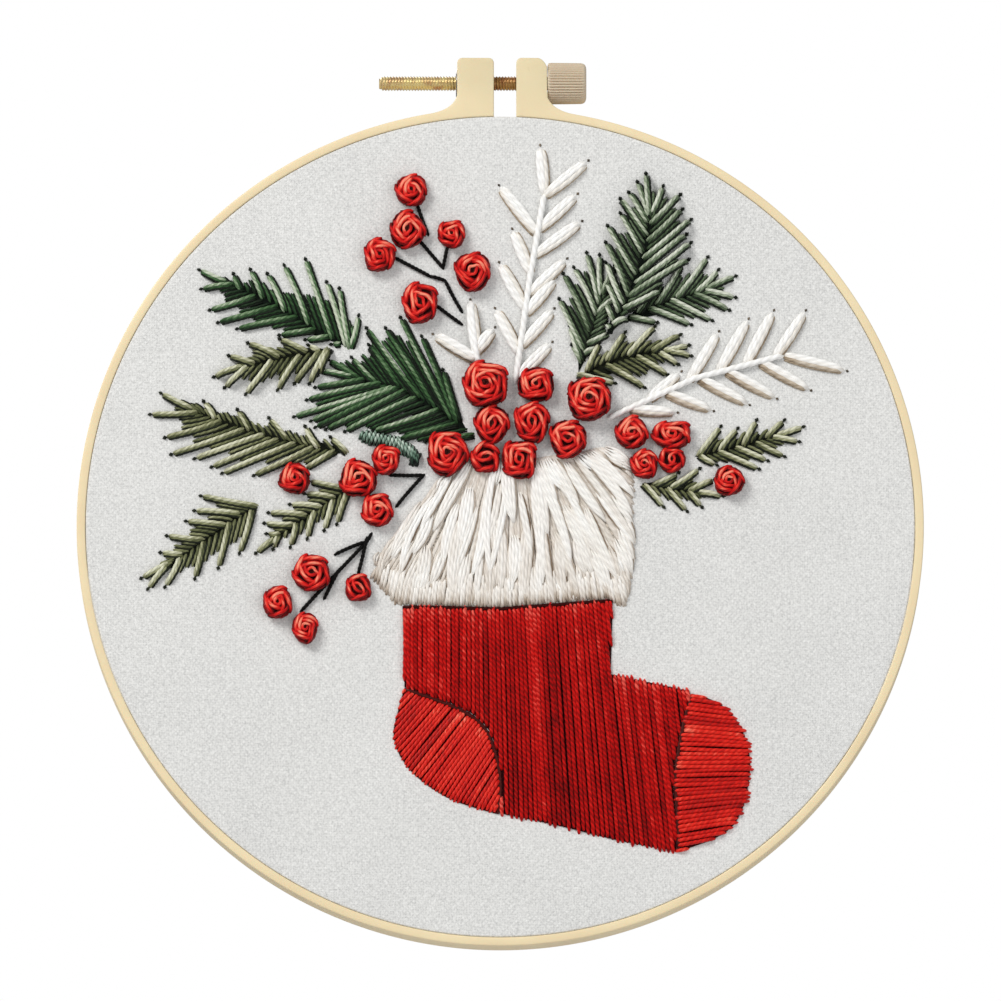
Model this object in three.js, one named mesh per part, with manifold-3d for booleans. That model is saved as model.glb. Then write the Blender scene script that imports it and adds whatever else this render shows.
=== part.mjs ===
// An embroidery hoop hung as a wall decoration: a spring outer hoop closed by a clamp screw,
// an inner hoop, linen stretched between them, and a Christmas stocking stitched on the linen.
// Millimetres. X runs to the right, Y into the wall and Z up. The origin is the hanging point,
// under the clamp screw in the middle of the gap between the lugs, at half the hoop's depth.
import * as THREE from "three";
import { mergeVertices } from "three/addons/utils/BufferGeometryUtils.js";
import Module from "manifold-3d";

const wasm = await Module();
wasm.setup();

// Hoops
const GAP = 0.3;
const HOOP_RADIUS = 100;
const HOOP_BAND = 2.05;
const HOOP_DEPTH = 9;
const EDGE_ROUND = 0.4;
const TURN_STEPS = 96;
const INNER_HOOP_BAND = 2.5;
const INNER_HOOP_FRONT = 3.4;
const INNER_HOOP_BACK = 3;

// Lugs and the gap between them, measured from the hoop's centre line
const GAP_CENTRE = 1.15;
const GAP_HALF = 2.65;
const LUG_TOP = 112;
const LEFT_LUG = { width: 8.7, chamfer: 0, flare: 6 };
const RIGHT_LUG = { width: 7.3, chamfer: 1.2, flare: 6.5 };

// Clamp screw, nut and knob
const SCREW_RADIUS = 1.75;
const SCREW_HEIGHT = 106.5;
const SCREW_END = -28.7;
const SCREW_CLEARANCE = 0.35;
const NUT_ACROSS_FLATS = 6.6;
const NUT_THICKNESS = 2.3;
const NUT_PROUD = 0.3;
const KNOB_RADIUS = 4.9;
const KNOB_LENGTH = 8.6;
const KNOB_RIBS = 44;
const KNOB_RIB_DEPTH = 0.3;
const KNOB_BORE_DEPTH = 5;

// Linen
const LINEN = 0.6;
const LINEN_FRONT = 4.3;
const HEM_RADIUS = 70;
const THREAD_RADIUS = 0.5;

// Embroidery: flat patches in layers over the linen, and domed berries on top
const PATCH = 0.6;
const LAYER_STEP = PATCH + GAP;
const STEM_WIDTH = 1;
const NEEDLE_REACH = 1.2;
const BERRY_SHRINK = 0.93;
const BERRY_RISE = 0.62;
const BERRY_STEPS = 12;

const linenRadius = HOOP_RADIUS - HOOP_BAND - GAP;
const innerHoopRadius = linenRadius - LINEN - GAP;
const hoopCentre = new THREE.Vector3(-GAP_CENTRE, 0, SCREW_RADIUS - SCREW_HEIGHT);
const lugFaceRight = GAP_CENTRE + GAP_HALF + RIGHT_LUG.width;
const lugFaceLeft = GAP_CENTRE - GAP_HALF - LEFT_LUG.width;
const knobStart = lugFaceRight + GAP;

function material(color, roughness, metalness = 0) {
  return new THREE.MeshStandardMaterial({ color, roughness, metalness });
}

const plastic = material(0xe6d6ae, 0.4);
const knobPlastic = material(0xdac4a6, 0.5);
const brass = material(0xc9a55a, 0.35, 1);
const steel = material(0x8d8a84, 0.4, 1);
const linen = material(0xdededc, 0.95);
const deepRed = material(0xaf0a0f, 0.7);
const brightRed = material(0xc81e14, 0.7);
const cream = material(0xece7e0, 0.85);
const white = material(0xf4f2ec, 0.8);
const pineGreen = material(0x2a4a33, 0.8);
const oliveGreen = material(0x7f8460, 0.8);
const tealGreen = material(0x7d9a8c, 0.8);
const black = material(0x14120f, 0.7);
const berryRed = material(0xc81919, 0.6);

// The finished object, and inside it a frame whose origin is the hoop's centre.
const decoration = new THREE.Group();
const hoop = new THREE.Group();
hoop.position.copy(hoopCentre);
decoration.add(hoop);
// Front views are drawn in X and Y and rise towards the viewer: they are turned upright here.
const upright = new THREE.Group();
upright.rotation.x = Math.PI / 2;
hoop.add(upright);
// The linen's front face, which the embroidery lies on.
const linenFace = new THREE.Group();
linenFace.position.z = LINEN_FRONT;
upright.add(linenFace);

function addMesh(parent, name, geometry, surface) {
  const mesh = new THREE.Mesh(geometry, surface);
  mesh.name = name;
  parent.add(mesh);
  return mesh;
}

function solidOf(geometry) {
  const bare = geometry.clone();
  bare.deleteAttribute("normal");
  bare.deleteAttribute("uv");
  const merged = mergeVertices(bare, 1e-4);
  const vertProperties = merged.attributes.position.array;
  const triVerts = new Uint32Array(merged.index.array);
  return new wasm.Manifold(new wasm.Mesh({ numProp: 3, vertProperties, triVerts }));
}

function geometryOf(solid) {
  const mesh = solid.getMesh();
  const geometry = new THREE.BufferGeometry();
  geometry.setAttribute("position", new THREE.BufferAttribute(mesh.vertProperties, 3));
  geometry.setIndex(new THREE.BufferAttribute(mesh.triVerts, 1));
  geometry.computeVertexNormals();
  return geometry;
}

// The same outline as straight steps, without the doubled points where its curves meet.
function plainShape(shape, curveSteps) {
  const { shape: points } = shape.extractPoints(curveSteps);
  return new THREE.Shape(points.filter((point, i) => point.distanceTo(points.at(i - 1)) > 0.01));
}

function rodAlongX(radius, from, to, height, sides = 24) {
  const rod = new THREE.CylinderGeometry(radius, radius, to - from, sides);
  return rod.rotateZ(Math.PI / 2).translate((from + to) / 2, height, 0);
}

// One half of the outer hoop with its lug. side is -1 for the left half and 1 for the right.
function armShape(side, lug) {
  const arc = (radius, from, to) => {
    const start = Math.atan2(from.y, from.x);
    const end = Math.atan2(to.y, to.x);
    shape.absarc(0, 0, radius, start, end, side < 0);
  };
  const onCircle = (radius, x, up) => new THREE.Vector2(x, up * Math.sqrt(radius ** 2 - x ** 2));
  const shape = new THREE.Shape();
  const inside = GAP_CENTRE + side * GAP_HALF;
  const outside = inside + side * lug.width;
  const split = GAP_CENTRE + (side * GAP) / 2;
  const innerRadius = HOOP_RADIUS - HOOP_BAND;
  const bottom = onCircle(HOOP_RADIUS, split, -1);
  const flareEnd = onCircle(HOOP_RADIUS, outside + side * lug.flare, 1);
  shape.moveTo(bottom.x, bottom.y);
  arc(HOOP_RADIUS, bottom, flareEnd);
  const flareTop = HOOP_RADIUS + 3;
  shape.quadraticCurveTo(outside + side, flareEnd.y + 1, outside, flareTop);
  shape.lineTo(outside, LUG_TOP - 1 - lug.chamfer);
  const corner = outside - side * (1 + lug.chamfer);
  shape.quadraticCurveTo(outside - side * lug.chamfer, LUG_TOP, corner, LUG_TOP);
  shape.lineTo(inside + side, LUG_TOP);
  shape.quadraticCurveTo(inside, LUG_TOP, inside, LUG_TOP - 1);
  const foot = onCircle(innerRadius, inside, 1);
  const innerBottom = onCircle(innerRadius, split, -1);
  shape.lineTo(foot.x, foot.y);
  shape.absarc(0, 0, innerRadius, foot.angle(), Math.atan2(innerBottom.y, innerBottom.x), side > 0);
  shape.closePath();
  return shape;
}

function armSolid(side, lug) {
  const geometry = new THREE.ExtrudeGeometry(plainShape(armShape(side, lug), TURN_STEPS / 4), {
    depth: HOOP_DEPTH - 2 * EDGE_ROUND,
    bevelSize: EDGE_ROUND,
    bevelOffset: -EDGE_ROUND,
    bevelThickness: EDGE_ROUND,
    bevelSegments: 1,
  });
  const hole = rodAlongX(SCREW_RADIUS + SCREW_CLEARANCE, -40, 40, SCREW_HEIGHT);
  const solid = solidOf(geometry.translate(0, 0, EDGE_ROUND - HOOP_DEPTH / 2));
  return solid.subtract(solidOf(hole));
}

function addOuterHoop() {
  const pocketDepth = NUT_THICKNESS - NUT_PROUD + GAP;
  const pocketRadius = NUT_ACROSS_FLATS / Math.sqrt(3) + 0.4;
  const pocket = rodAlongX(pocketRadius, lugFaceLeft - 1, lugFaceLeft + pocketDepth, SCREW_HEIGHT, 6);
  const left = armSolid(-1, LEFT_LUG).subtract(solidOf(pocket));
  addMesh(upright, "outer_hoop_left_arm", geometryOf(left), plastic);
  const knobRoom = rodAlongX(KNOB_RADIUS + SCREW_CLEARANCE, lugFaceRight, lugFaceRight + 20, SCREW_HEIGHT);
  const right = armSolid(1, RIGHT_LUG).subtract(solidOf(knobRoom));
  addMesh(upright, "outer_hoop_right_arm", geometryOf(right), plastic);
}

function addClamp() {
  const screw = new THREE.LatheGeometry(
    [
      new THREE.Vector2(0, SCREW_END),
      new THREE.Vector2(SCREW_RADIUS - 0.5, SCREW_END),
      new THREE.Vector2(SCREW_RADIUS, SCREW_END + 0.5),
      new THREE.Vector2(SCREW_RADIUS, knobStart + KNOB_BORE_DEPTH - GAP),
      new THREE.Vector2(0, knobStart + KNOB_BORE_DEPTH - GAP),
    ],
    24,
  );
  screw.rotateZ(-Math.PI / 2).translate(0, SCREW_HEIGHT, 0);
  addMesh(upright, "clamp_screw", screw, brass);

  const holeRadius = SCREW_RADIUS + SCREW_CLEARANCE;
  const nutStart = lugFaceLeft - NUT_PROUD;
  const nutRadius = NUT_ACROSS_FLATS / Math.sqrt(3);
  const nut = rodAlongX(nutRadius, nutStart, nutStart + NUT_THICKNESS, SCREW_HEIGHT, 6);
  const nutHole = rodAlongX(holeRadius, nutStart - 1, nutStart + NUT_THICKNESS + 1, SCREW_HEIGHT);
  addMesh(upright, "clamp_nut", geometryOf(solidOf(nut).subtract(solidOf(nutHole))), steel);

  const outline = new THREE.Shape();
  for (let i = 0; i < 2 * KNOB_RIBS; i += 1) {
    const radius = KNOB_RADIUS - (i % 2) * KNOB_RIB_DEPTH;
    const angle = (i * Math.PI) / KNOB_RIBS;
    const move = i ? "lineTo" : "moveTo";
    outline[move](radius * Math.cos(angle), radius * Math.sin(angle));
  }
  const round = 0.6;
  const knob = new THREE.ExtrudeGeometry(outline, {
    depth: KNOB_LENGTH - 2 * round,
    bevelSize: round,
    bevelOffset: -round,
    bevelThickness: round,
    bevelSegments: 2,
  });
  knob.rotateY(Math.PI / 2).translate(knobStart + round, SCREW_HEIGHT, 0);
  const bore = rodAlongX(holeRadius, knobStart - 1, knobStart + KNOB_BORE_DEPTH, SCREW_HEIGHT);
  addMesh(upright, "screw_knob", geometryOf(solidOf(knob).subtract(solidOf(bore))), knobPlastic);
}

// A body turned about the hoop's axis. Each point of the profile is a radius and a depth.
function turned(points, steps = TURN_STEPS) {
  return new THREE.LatheGeometry(points.map(([r, y]) => new THREE.Vector2(r, y)), steps);
}

function addPanel() {
  const outer = innerHoopRadius;
  const inner = innerHoopRadius - INNER_HOOP_BAND;
  const ring = [
    [inner, -INNER_HOOP_FRONT],
    [outer - EDGE_ROUND, -INNER_HOOP_FRONT],
    [outer, EDGE_ROUND - INNER_HOOP_FRONT],
    [outer, INNER_HOOP_BACK],
    [inner, INNER_HOOP_BACK],
    [inner, -INNER_HOOP_FRONT],
  ];
  addMesh(hoop, "inner_hoop", turned(ring), plastic);

  const hemFront = INNER_HOOP_BACK + GAP;
  const sheet = [
    [0, -LINEN_FRONT],
    [linenRadius - LINEN, -LINEN_FRONT],
    [linenRadius, LINEN - LINEN_FRONT],
    [linenRadius, hemFront + LINEN],
    [HEM_RADIUS, hemFront + LINEN],
    [HEM_RADIUS, hemFront],
    [linenRadius - LINEN, hemFront],
    [linenRadius - LINEN, LINEN - LINEN_FRONT],
    [0, LINEN - LINEN_FRONT],
  ];
  addMesh(hoop, "ground_fabric", turned(sheet), linen);

  const ringRadius = HEM_RADIUS - GAP - THREAD_RADIUS;
  const sides = 6;
  const cord = [];
  for (let i = 0; i <= sides; i += 1) {
    const angle = (i * 2 * Math.PI) / sides;
    const depth = hemFront + LINEN / 2 + THREAD_RADIUS * Math.sin(angle);
    cord.push([ringRadius + THREAD_RADIUS * Math.cos(angle), depth]);
  }
  addMesh(hoop, "gathering_thread", turned(cord, TURN_STEPS / 2), white);
}

const vectors = (points) => points.map(([x, y]) => new THREE.Vector2(x, y));

function addPatch(name, shape, layer, surface) {
  const geometry = new THREE.ExtrudeGeometry(plainShape(shape, 3), { depth: PATCH, bevelEnabled: false });
  const mesh = addMesh(linenFace, name, geometry, surface);
  mesh.position.z = GAP + layer * LAYER_STEP;
}

// Where the needle with this tip leaves the spine: it slants back towards the sprig's base.
function needleRoot(spine, tip) {
  let best = { distance: Infinity };
  let travelled = 0;
  for (let i = 1; i < spine.length; i += 1) {
    const step = spine[i].clone().sub(spine[i - 1]);
    const share = THREE.MathUtils.clamp(tip.clone().sub(spine[i - 1]).dot(step) / step.lengthSq(), 0, 1);
    const distance = spine[i - 1].clone().addScaledVector(step, share).distanceTo(tip);
    if (distance < best.distance) best = { distance, along: travelled + share * step.length() };
    travelled += step.length();
  }
  let left = Math.max(0, best.along - NEEDLE_REACH * best.distance);
  for (let i = 1; i < spine.length; i += 1) {
    const length = spine[i].distanceTo(spine[i - 1]);
    if (left <= length) return spine[i - 1].clone().lerp(spine[i], left / length);
    left -= length;
  }
  return spine.at(-1).clone();
}

// A toothed outline: it runs from tip to tip round the sprig, and dips towards the spine between them.
function sprigShape({ spine, tips, dip }) {
  const line = vectors(spine);
  const ends = vectors(tips);
  const roots = ends.map((tip) => needleRoot(line, tip));
  const outline = [line[0]];
  ends.forEach((tip, i) => {
    outline.push(tip);
    if (i === ends.length - 1) return;
    const between = tip.clone().lerp(ends[i + 1], 0.5);
    outline.push(between.lerp(roots[i].clone().lerp(roots[i + 1], 0.5), dip));
  });
  return new THREE.Shape(outline);
}

// Each sprig's spine starts at its base. Its needle tips are listed round the outline.
const SPRIGS = [
  {
    name: "pine_sprig_far_left_dark",
    surface: pineGreen,
    layer: 0,
    spine: [[-35.5, 42.5], [-41, 45], [-50, 51], [-60, 56], [-69, 60]],
    tips: [
      [-33.5, 50], [-38, 56.5], [-41, 58], [-46, 63.5], [-51, 62], [-55, 60], [-59, 61], [-63, 60],
      [-71, 61], [-70.5, 56.5], [-68.5, 51.5], [-66.5, 48.5], [-62, 47], [-52, 45.5],
    ],
  },
  {
    name: "pine_sprig_far_left_olive",
    surface: oliveGreen,
    layer: 1,
    spine: [[-40.5, 42], [-50, 40.5], [-58, 38.5], [-65, 36.5]],
    tips: [
      [-52, 44.5], [-59.5, 43.5], [-64, 40.5], [-67.5, 35.5],
      [-65, 33], [-60, 31.5], [-52.5, 32.5], [-48.5, 34], [-45, 34], [-43, 36],
    ],
  },
  {
    name: "pine_sprig_centre_dark",
    surface: pineGreen,
    layer: 0,
    spine: [[-8, 23], [-16, 29], [-25, 33.5], [-39, 36]],
    tips: [
      [-13.5, 37], [-18.5, 45], [-23.5, 49.5], [-27, 47], [-31.5, 47], [-31, 43], [-35, 40], [-40.5, 39.5],
      [-42.5, 37], [-43.5, 33], [-45.5, 30], [-48.5, 26], [-44.5, 25], [-43.5, 23.5], [-41, 23],
      [-36.5, 22.5], [-30, 22.5], [-24, 20.5], [-17.5, 20],
    ],
  },
  {
    name: "pine_sprig_short_teal",
    surface: tealGreen,
    layer: 1,
    spine: [[-18, 18], [-25, 20.5], [-32, 21.5]],
    tips: [[-21, 21.5], [-26, 23.5], [-31, 24], [-34, 21], [-31, 19], [-27, 17.5], [-21, 14.5]],
  },
  {
    name: "pine_sprig_long_olive",
    surface: oliveGreen,
    layer: 0,
    spine: [[-37, 17.5], [-46, 19], [-56, 21.5], [-68, 25.5], [-78, 30]],
    tips: [
      [-40, 21], [-46, 23.5], [-54.5, 25.5], [-62, 27.5], [-70, 29.5], [-80, 31.5],
      [-82.5, 26.5], [-79, 21], [-77.5, 17], [-72, 16], [-68, 14], [-65.5, 12.5], [-58, 12], [-46, 13.5],
    ],
  },
  {
    name: "pine_sprig_lower_left",
    surface: oliveGreen,
    layer: 0,
    spine: [[-57.5, 4.5], [-63, 1.5], [-71, -4.5], [-82, -11.5]],
    tips: [
      [-70.5, 7], [-72, 3.5], [-74, 1], [-78.5, -2.5], [-80, -6.5], [-84.5, -12.5],
      [-83, -15], [-79, -14.5], [-72, -12.5], [-66.5, -10], [-61.5, -6.5],
    ],
  },
  {
    name: "pine_sprig_middle",
    surface: oliveGreen,
    layer: 0,
    spine: [[-36, 8.5], [-43, 4], [-50, -0.5], [-56, -5.5]],
    tips: [
      [-45, 10.5], [-46, 7.5], [-49.5, 5], [-54.5, 3], [-55.5, 0.5], [-55, -2], [-57.5, -6.5],
      [-53.5, -5.5], [-49.5, -5], [-45.5, -3], [-41.5, -1], [-38.5, 0.5],
    ],
  },
  {
    name: "pine_sprig_right_main",
    surface: pineGreen,
    layer: 2,
    spine: [[25, 45], [29, 51.5], [33, 60.5], [35, 69], [36, 79]],
    tips: [
      [25, 67.5], [25.5, 71.5], [28.5, 74.5], [28.5, 78], [30.5, 79.5], [32.5, 82], [34.5, 84],
      [38.5, 81], [42.5, 79], [43, 75.5], [45, 73], [44, 69.5], [45, 67.5], [44.5, 63.5], [38, 56],
    ],
  },
  {
    name: "pine_sprig_right_inner",
    surface: pineGreen,
    layer: 0,
    spine: [[18.5, 36.5], [20.5, 44], [23.5, 52], [25, 60]],
    tips: [
      [17, 43], [16.5, 47.5], [14, 54], [15, 60], [17.5, 61.5], [20.5, 65], [23.5, 64.5],
      [27, 62], [28, 55], [26, 46],
    ],
  },
  {
    name: "pine_sprig_right_outer",
    surface: pineGreen,
    layer: 0,
    spine: [[30, 49.5], [37, 53], [45, 55.5], [53, 57]],
    tips: [
      [38, 60], [43, 62.5], [49, 64], [51.5, 61], [55.5, 59.5], [55.5, 54.5],
      [54, 51.5], [50, 49], [45, 48], [37, 48.5],
    ],
  },
  {
    name: "pine_sprig_right_lower",
    surface: oliveGreen,
    layer: 1,
    spine: [[20.5, 36.5], [27, 40], [34, 41.5], [42, 41.5]],
    tips: [
      [23.5, 43.5], [29.5, 46], [36.5, 47.5], [42.5, 45.5], [44.5, 43],
      [45, 40.5], [42, 38.5], [39.5, 36], [34, 33], [27, 34],
    ],
  },
  {
    name: "pine_sprig_right_small_upper",
    surface: oliveGreen,
    layer: 0,
    spine: [[46, 16.5], [54, 18], [62, 20.5], [69, 22.5]],
    tips: [
      [52, 23.5], [56, 23], [60.5, 25], [67, 25], [71.5, 23.5],
      [70.5, 20], [67, 16.5], [63, 15.5], [61, 13.5], [51, 14.5],
    ],
  },
  {
    name: "pine_sprig_right_small_lower",
    surface: oliveGreen,
    layer: 0,
    spine: [[33.5, 10], [40, 9], [46, 8], [51, 7]],
    tips: [[42, 12.5], [47, 13.5], [50.5, 11], [52.5, 7], [47.5, 4.5], [44, 3.5], [38.5, 4.5]],
  },
];

// White feather fronds: the same build with fewer, broader leaves.
const FRONDS = [
  {
    name: "white_frond_tall",
    surface: white,
    layer: 0,
    spine: [[3.5, 34], [4, 44.5], [4.5, 53.5], [6, 62.5], [8.5, 71], [10, 79]],
    tips: [
      [-1, 51.5], [0, 62.5], [3, 70.5], [0, 81], [9.5, 90.5],
      [20.5, 87], [18, 79], [19, 72.5], [15.5, 63.5], [13, 59], [12.5, 51.5], [12, 43.5],
    ],
  },
  {
    name: "white_frond_short",
    surface: white,
    layer: 1,
    spine: [[-5, 38], [-6, 42], [-7, 48]],
    tips: [[-15.5, 45.5], [-7, 53.5], [-1.5, 47]],
  },
  {
    name: "white_frond_right",
    surface: white,
    layer: 0,
    spine: [[25, 25.5], [31.5, 28.5], [42.5, 34], [52.5, 37.5], [62, 40], [70, 40]],
    tips: [
      [42.5, 36.5], [51.5, 46], [58.5, 49], [64.5, 51], [72, 51], [81.5, 37],
      [73, 32.5], [65, 30.5], [58.5, 29], [50, 27.5], [41.5, 27],
    ],
  },
];

const STEMS = {
  stem_top_fork: [[[-19, 68], [-13.5, 61.5], [-12.5, 66.5]]],
  stem_top_long: [[[-25, 64], [-16.5, 59.5], [-13, 58.5], [-9, 51]]],
  stem_middle_fork: [[[-26, 12], [-18, 12], [-24.5, 4.5]]],
  stem_lower_spray: [
    [[-30.5, -2], [-32, -4.5], [-47, -20.5]],
    [[-32, -4], [-39, -7]],
    [[-31.5, -3], [-33.5, -11.5]],
    [[-38, -10.5], [-41.5, -17.5]],
  ],
};

// Berries: centre, then width and height of the front view, and the layer that each stands on.
const BERRIES = {
  berry_top: [
    [-21, 80, 7.5, 7.5, 1], [-22, 70.5, 8.5, 9.5, 1], [-11.5, 69.5, 6.5, 6.5, 1],
    [-28.5, 64.5, 7.5, 8, 1], [-6.5, 60.5, 8.5, 9.5, 1], [-19, 53, 8.5, 10, 1],
  ],
  berry_centre: [
    [-3.5, 33.5, 11, 11, 2], [8.5, 33.5, 9, 8.5, 1], [21, 30, 11, 11, 2], [-2, 24, 8.5, 9.5, 1],
    [7.5, 24.5, 8.5, 10, 1], [16, 20.5, 9, 9.5, 1], [-12.5, 17, 10, 11, 1], [-3.5, 16, 7, 7.5, 1],
    [4.5, 15.5, 8.5, 9.5, 1],
  ],
  berry_right: [
    [31, 22, 8, 8, 1], [40.5, 21.5, 9.5, 6.5, 1], [34, 14.5, 6.5, 7, 1], [40.5, 15.5, 6.5, 6, 1],
    [54, 10.5, 7, 7, 1],
  ],
  berry_left: [
    [-48.5, 11, 7.5, 7.5, 1], [-33.5, 11, 9, 9, 1], [-27, 15.5, 6.5, 7, 2], [-29, 3.5, 7.5, 8, 1],
    [-44.5, -11.5, 9, 9, 1], [-52.5, -18.5, 7, 8, 1], [-46, -24.5, 6, 7.5, 1], [-33.5, -15, 6, 6.5, 1],
  ],
};

function addSprigs() {
  SPRIGS.forEach((sprig) => addPatch(sprig.name, sprigShape({ ...sprig, dip: 0.4 }), sprig.layer, sprig.surface));
  FRONDS.forEach((frond) => addPatch(frond.name, sprigShape({ ...frond, dip: 0.6 }), frond.layer, frond.surface));
}

// A bar of even width from one point to another, with square ends a little past both.
function bar(from, to) {
  const along = to.clone().sub(from).setLength(STEM_WIDTH / 2);
  const across = new THREE.Vector2(-along.y, along.x);
  const start = from.clone().sub(along);
  const end = to.clone().add(along);
  const corners = [
    start.clone().add(across),
    start.clone().sub(across),
    end.clone().sub(across),
    end.clone().add(across),
  ];
  const geometry = new THREE.ExtrudeGeometry(new THREE.Shape(corners), { depth: PATCH, bevelEnabled: false });
  return solidOf(geometry);
}

function addStems() {
  for (const [name, lines] of Object.entries(STEMS)) {
    const bars = [];
    for (const line of lines.map(vectors)) {
      for (let i = 1; i < line.length; i += 1) bars.push(bar(line[i - 1], line[i]));
    }
    const stem = bars.reduce((whole, piece) => whole.add(piece));
    addMesh(linenFace, name, geometryOf(stem), black).position.z = GAP;
  }
}

// A dome of unit radius and unit rise, stretched to each berry's size.
function addBerries() {
  const profile = [[0, 0], [0.9, 0], [1, 0.3], [0.85, 0.75], [0.45, 1], [0, 1]];
  for (const [cluster, berries] of Object.entries(BERRIES)) {
    berries.forEach(([x, y, width, height, layer], i) => {
      const dome = turned(profile, BERRY_STEPS).rotateX(Math.PI / 2);
      const berry = addMesh(linenFace, `${cluster}_${i + 1}`, dome, berryRed);
      const rise = (BERRY_RISE * (width + height)) / 4;
      berry.scale.set((BERRY_SHRINK * width) / 2, (BERRY_SHRINK * height) / 2, rise);
      berry.position.set(x, y, GAP + layer * LAYER_STEP);
    });
  }
}

function addStocking() {
  const leg = new THREE.Shape(vectors([[-23, -19.5], [-22.5, -38.5]]));
  leg.splineThru(vectors([[-10, -43], [-3.5, -47.5], [-0.5, -54.5], [0.5, -62], [0, -68.5]]));
  leg.splineThru(vectors([[14, -71.5], [28, -75], [41.5, -77.5]]));
  leg.splineThru(vectors([[41, -68], [40.8, -58], [43, -46], [45, -40.5]]));
  leg.lineTo(44.5, -39.5);
  leg.lineTo(26, -35.5);
  leg.lineTo(26.5, -18);
  leg.lineTo(0, -20);
  addPatch("stocking_leg", leg, 0, deepRed);

  const heel = new THREE.Shape(vectors([[-22.6, -39]]));
  heel.splineThru(vectors([[-10.3, -43.6], [-4, -48], [-1, -55], [0, -62], [-0.6, -68.7]]));
  heel.splineThru(vectors([[-12, -65], [-21, -58.5], [-25, -51], [-24, -44], [-22.6, -39]]));
  addPatch("stocking_heel", heel, 0, brightRed);

  const toe = new THREE.Shape(vectors([[45.5, -40.2]]));
  toe.splineThru(vectors([[52.5, -43], [57.5, -50], [58.7, -60], [54.5, -72], [42.1, -77.6]]));
  toe.splineThru(vectors([[41.6, -68], [41.4, -58], [43.5, -46], [45.5, -40.2]]));
  addPatch("stocking_toe", toe, 0, brightRed);

  const cuff = new THREE.Shape(vectors([[-24.5, -18.5], [0, -19.3], [25.5, -17.2], [29.5, -19.5]]));
  cuff.splineThru(vectors([[31.5, -6.5], [31, 2.5], [31.5, 9], [30.5, 15]]));
  cuff.splineThru(vectors([[24, 18], [8, 12], [-7.5, 13], [-14, 10.5]]));
  cuff.splineThru(vectors([[-21.5, 1.5], [-27.5, -6.5], [-30.5, -12]]));
  addPatch("stocking_cuff", cuff, 0, cream);
}

addOuterHoop();
addClamp();
addPanel();
addStocking();
addSprigs();
addStems();
addBerries();

export default decoration;
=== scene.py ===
"""An embroidery hoop with a Christmas stocking stitched on its linen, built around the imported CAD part."""

import math

import bmesh
import bpy
import numpy as np
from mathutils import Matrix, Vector


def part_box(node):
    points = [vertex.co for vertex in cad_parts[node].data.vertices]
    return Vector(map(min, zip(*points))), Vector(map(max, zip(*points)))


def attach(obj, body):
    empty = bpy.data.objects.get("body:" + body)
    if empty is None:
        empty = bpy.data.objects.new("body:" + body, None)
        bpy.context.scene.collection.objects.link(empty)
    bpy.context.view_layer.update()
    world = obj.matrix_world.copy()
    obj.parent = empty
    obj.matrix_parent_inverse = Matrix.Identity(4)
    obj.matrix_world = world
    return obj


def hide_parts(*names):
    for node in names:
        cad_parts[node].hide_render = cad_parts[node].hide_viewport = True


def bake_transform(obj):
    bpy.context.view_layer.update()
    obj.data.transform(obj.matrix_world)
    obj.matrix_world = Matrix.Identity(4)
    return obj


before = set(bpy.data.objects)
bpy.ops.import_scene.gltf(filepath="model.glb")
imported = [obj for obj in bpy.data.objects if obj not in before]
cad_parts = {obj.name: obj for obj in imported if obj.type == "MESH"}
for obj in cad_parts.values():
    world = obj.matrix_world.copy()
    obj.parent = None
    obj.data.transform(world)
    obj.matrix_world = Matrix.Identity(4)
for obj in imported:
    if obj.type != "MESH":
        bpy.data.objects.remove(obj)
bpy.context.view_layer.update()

MM = 0.001
PANEL = "stitched_panel"
BERRY_SHRINK = 0.93
rng = np.random.default_rng(20)

# Places in millimetres are measured from the hoop's centre, across and up, as seen from the front.
ring_low, ring_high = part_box("inner_hoop")
linen_low, linen_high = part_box("ground_fabric")
CENTRE_X = (ring_low.x + ring_high.x) / 2
CENTRE_Z = (ring_low.z + ring_high.z) / 2
LINEN_Y = linen_low.y


def placed(points):
    """Rows of across, up and height over the linen, in millimetres, as points in the row frame."""
    p = np.asarray(points, float) * MM
    return np.column_stack([CENTRE_X + p[:, 0], LINEN_Y - p[:, 2], CENTRE_Z + p[:, 1]])


# ---------------------------------------------------------------- camera, lights and floor


def add_camera():
    data = bpy.data.cameras.new("camera")
    data.sensor_width = 36
    data.lens = 761.7
    camera = bpy.data.objects.new("camera", data)
    bpy.context.scene.collection.objects.link(camera)
    aim = Vector((CENTRE_X + 0.07 * MM, LINEN_Y, CENTRE_Z + 5.97 * MM))
    below = math.radians(8.5)
    back = Vector((0, -math.cos(below), -math.sin(below)))
    camera.location = aim + back * 5
    camera.rotation_mode = "QUATERNION"
    camera.rotation_quaternion = (-back).to_track_quat("-Z", "Y")
    data.clip_start, data.clip_end = 0.05, 40
    bpy.context.scene.camera = camera


def add_light(name, place, size, power, color):
    data = bpy.data.lights.new(name, "AREA")
    data.size = size
    data.energy = power
    data.color = color
    light = bpy.data.objects.new(name, data)
    bpy.context.scene.collection.objects.link(light)
    light.location = place
    aim = Vector((0, 0, -0.1))
    light.rotation_mode = "QUATERNION"
    light.rotation_quaternion = (aim - Vector(place)).to_track_quat("-Z", "Y")


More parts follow.
